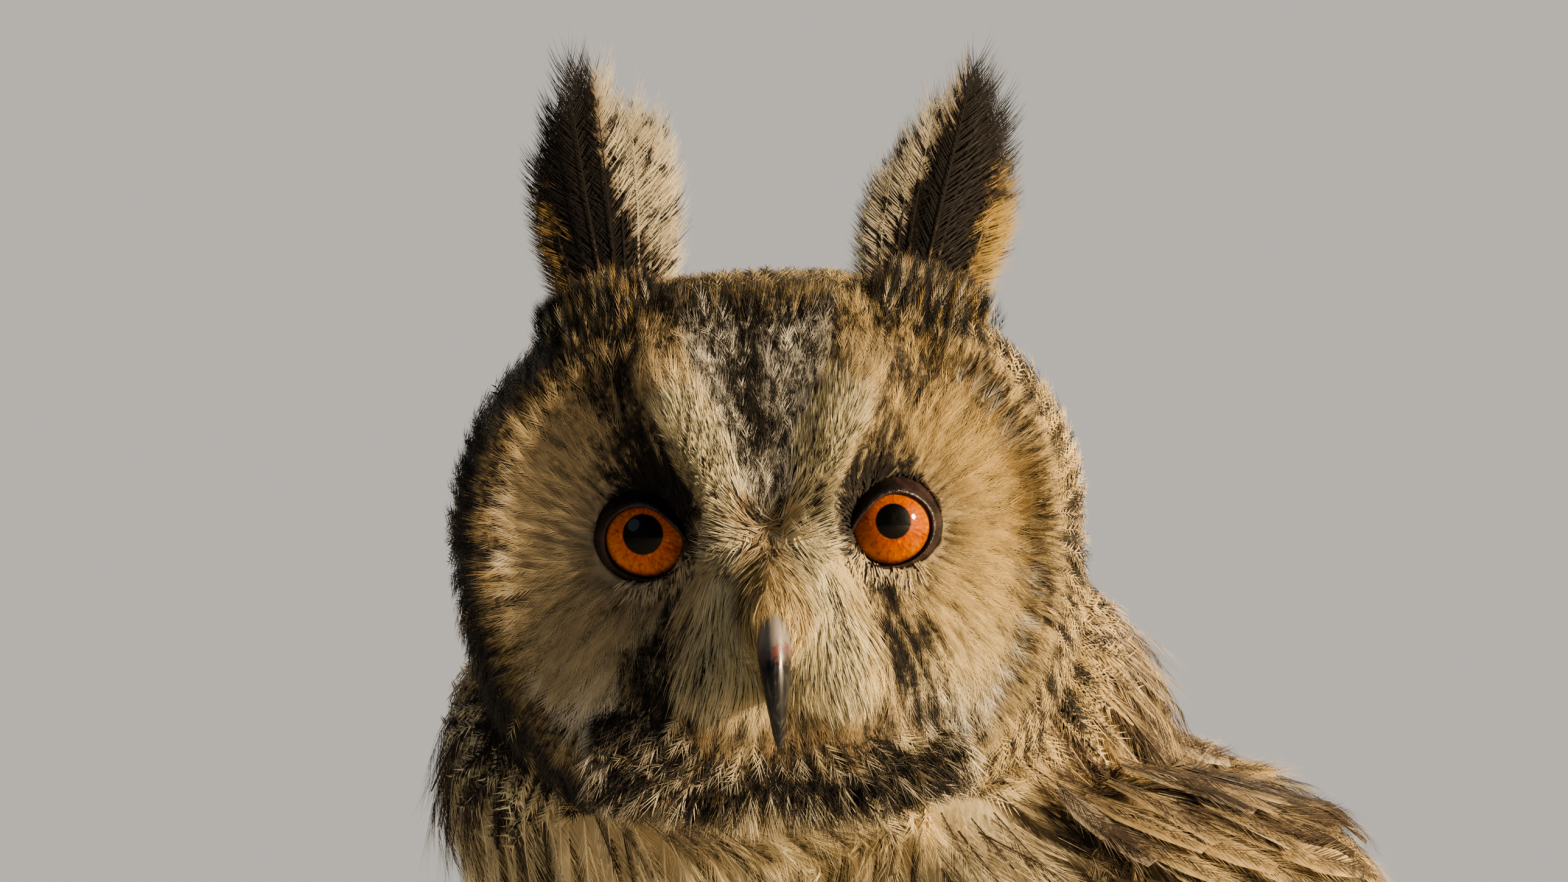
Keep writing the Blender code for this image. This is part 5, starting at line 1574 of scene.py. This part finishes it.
def make_coverts(name, side, material):
    """The soft feathers of the mantle and the upper wing, in rows that lie over the flight feathers."""
    coat = Coat(body_unwrap)
    stations, angles = [], []
    for row, t in enumerate(np.linspace(COVERT_FIRST, COVERT_LAST, COVERT_ROWS)):
        upper, lower = wing_edges(max(0.02, wing_share(t)))
        step = 0.0056 / along(WING_ENVELOPE, t)[3:5].mean()
        across = np.arange(math.radians(1) + 0.5 * step * (row % 2), lower + 0.04, step)
        stations.append(t + RNG.uniform(-0.09, 0.09, len(across)))
        angles.append(across + RNG.normal(0, 0.15 * step, len(across)))
    stations, angles = np.concatenate(stations), np.concatenate(angles)
    count = len(stations)
    lengths = np.interp(stations, (0.9, 3, 4.5), (0.017, 0.024, 0.030)) * RNG.uniform(0.85, 1.15, count)
    run = np.linspace(0, 1, 6)
    t = stations[:, None] + lengths[:, None] / STATION_LENGTH * run
    angle = np.maximum(angles[:, None] + RNG.normal(-0.02, 0.05, (count, 1)) * run, 0.01)
    lift = RNG.uniform(0.0030, 0.0052, (count, 1)) * run
    high = arm_height(t, angle) + 0.0010 + lift - 0.0012 * (1 - run) ** 2
    shafts, over = (
        placed(BODY, on_body(WING_ENVELOPE, t, angle, high + extra) * (side, 1, 1)) for extra in (0, 0.002)
    )
    swell = wave_field(shafts[:, 2], 0.012, 95)
    base = blend(np.tile(OCHRE, (count, 1)), GREY, smooth_step(-0.3, 0.9, swell) * 0.7)
    base = blend(base, BUFF, (RNG.random(count) < 0.25) * 0.6)
    ink = np.clip(0.30 + 0.16 * swell + RNG.normal(0, 0.10, count), 0.05, 0.8)
    spotted = (RNG.random(count) < 0.30) * smooth_step(0.5, 0.9, angles)
    paint = painted(base, base * 1.25, ink, 0.62, 0.42)

    def with_spots(u, v):
        tints = paint(u, v)
        spot = bump(u - 0.80, 0.13) * smooth_step(0.15, 0.55, v * side) * spotted[:, None]
        return with_dark(blend(tints[..., :3], PALE, 0.85 * spot), tints[..., 3] * (1 - 0.85 * spot))

    shape = barbed(40, 0.30, 0.014, 180, web=0.72, loose=0.10)
    half_width = lengths * RNG.uniform(0.17, 0.22, count)
    roll = RNG.normal(0, 0.10, count)
    coat.grow(shape, shafts, unit(over - shafts), half_width, lengths * 0.12, with_spots, roll)
    coat.piece(f"coverts_{name}", "plumage", material)


def make_tail(material):
    """Twelve tail feathers, the middle pair on top, and coverts over and under their roots."""
    coat = Coat()
    u, v, h, faces = big_vane(40, 8)
    length = np.linalg.norm(TAIL_TIP - TAIL_ROOT)
    back = (TAIL_TIP - TAIL_ROOT) / length
    up = np.array((0, -back[2], back[1]))
    rows = []
    for aside in 2 * np.arange(12) / 11 - 1:
        rows.append((aside, 0.002, length * (1 - 0.10 * aside**2), 0.0026 - 0.0046 * abs(aside), "flight"))
    for reach, height in ((0.060, 0.0034), (0.064, -0.0044)):
        for aside in (-0.7, -0.35, 0, 0.35, 0.7):
            rows.append((aside, 0.0, reach * (1 - 0.2 * abs(aside)), height, "covert"))
    for cell, (aside, start, reach, height, kind) in enumerate(rows):
        y = start + (reach - start) * u
        half = TAIL_ROOT_HALF_WIDTH + (TAIL_TIP_HALF_WIDTH - TAIL_ROOT_HALF_WIDTH) * y / length
        spots = TAIL_ROOT + back * y[:, None] + up * (height + 0.0004 * h - 0.0005 * v * v)[:, None]
        spots[:, 0] += aside * (half - TAIL_FEATHER_WIDTH) + v * TAIL_FEATHER_WIDTH
        patch = own_patch(cell, u, v, 0.15, 0.16, 6)
        coat.add(placed(BODY, spots), faces, painted_vane(kind, u, v), patch)
    coat.piece("tail_feathers", "plumage", material, "tail")


# Floor, light and camera
def make_stage():
    bm = bmesh.new()
    bmesh.ops.create_grid(bm, x_segments=8, y_segments=8, size=3.0)
    floor = thing_from(bm, "floor")
    made, n = new_material("pale_floor")
    grain = n.noise(n.object_place(), 60.0, 4.0)
    n.finish({"Base Color": n.mix(grain, *FLOOR_TONES), "Roughness": 0.8})
    floor.data.materials.append(made)


def make_light(face):
    for name, place, size, power, colour in (
        ("key", (2.4, -1.05, 0.55), 0.50, 205, (1.0, 0.79, 0.53)),
        ("fill", (-1.6, -1.9, 1.0), 1.3, 5, (0.72, 0.85, 1.0)),
        ("rim", (-0.8, 1.8, 1.3), 1.2, 22, (1.0, 0.90, 0.76)),
    ):
        lamp = bpy.data.lights.new(name, "AREA")
        lamp.shape, lamp.size, lamp.energy, lamp.color = "DISK", size, power, colour
        made = bpy.data.objects.new(name, lamp)
        made.location = face + Vector(place)
        made.rotation_euler = (-Vector(place)).to_track_quat("-Z", "Y").to_euler()
        bpy.context.scene.collection.objects.link(made)
    world = bpy.data.worlds.new("soft_room")
    world.use_nodes = True
    n = Nodes(world.node_tree)
    room = n.add("ShaderNodeBackground", {"Color": (0.60, 0.66, 0.76, 1), "Strength": 0.10})
    seen = world.node_tree.nodes["Background"]
    n.put(seen.inputs["Color"], (0.52, 0.49, 0.45, 1))
    n.put(seen.inputs["Strength"], 1.0)
    to_camera = n.add("ShaderNodeLightPath").outputs["Is Camera Ray"]
    both = n.add("ShaderNodeMixShader", {0: to_camera, 1: room.outputs[0], 2: seen.outputs[0]})
    n.put(world.node_tree.nodes["World Output"].inputs["Surface"], both.outputs[0])
    bpy.context.scene.world = world
    bpy.context.scene.view_settings.look = "AgX - Medium High Contrast"


def make_camera(face):
    """The portrait lens at the photo's place, level and straight in front of the face."""
    lens = bpy.data.cameras.new("portrait")
    lens.sensor_width = SENSOR_WIDTH
    lens.lens = SENSOR_WIDTH * CAMERA_DISTANCE / SEEN_WIDTH
    lens.clip_start = 0.05
    camera = bpy.data.objects.new("portrait", lens)
    camera.location = face + Vector((0.0025, -CAMERA_DISTANCE, 0.0139))
    camera.rotation_euler = (math.pi / 2, 0, 0)
    bpy.context.scene.collection.objects.link(camera)
    bpy.context.scene.camera = camera


def paint_skin(skin, ground):
    base, tip, ink = marks(ground.spots)
    tint(skin.data, with_dark(base * 0.6, ink))


def build():
    face = HEAD.translation.copy()
    make_stage()
    make_light(face)
    make_camera(face)
    skin = make_skin()
    ground = Ground(skin)
    paint_skin(skin, ground)
    down = plumage("down", UMBER, 0.9, 0.5)
    fine = plumage("face_plumage", BLACK, 0.8, 0.25)
    soft = plumage("body_plumage", UMBER, 0.7, 0.25)
    vanes = plumage("vane_plumage", UMBER, 1.0, 0.6)
    legs = [f"{part}_{name}" for part in ("thigh", "shank", "foot") for name in SIDES]
    finished(skin, "plumage", down, "head", "neck", "torso", *legs)
    lid = lid_material()
    for name, side in SIDES.items():
        # The left iris is painted at 0.60 of the full iris colours and the right one at 0.95: painted shade
        # on the left eye
        make_eye(name, side, *{"left": (0.0028, 0.60), "right": (0.0032, 0.95)}[name])
        make_lids(name, side, lid)
        make_disc(ground, name, side, fine)
        make_tuft(ground, name, side, fine)
        make_wing(name, side, vanes)
        make_coverts(name, side, soft)
    make_bill()
    make_claws()
    for make in (make_pale_cross, make_forehead, make_chin, make_ruff):
        make(ground, fine)
    for make in (make_neck, make_body, make_legs):
        make(ground, soft)
    make_tail(vanes)


build()
bpy.context.view_layer.update()
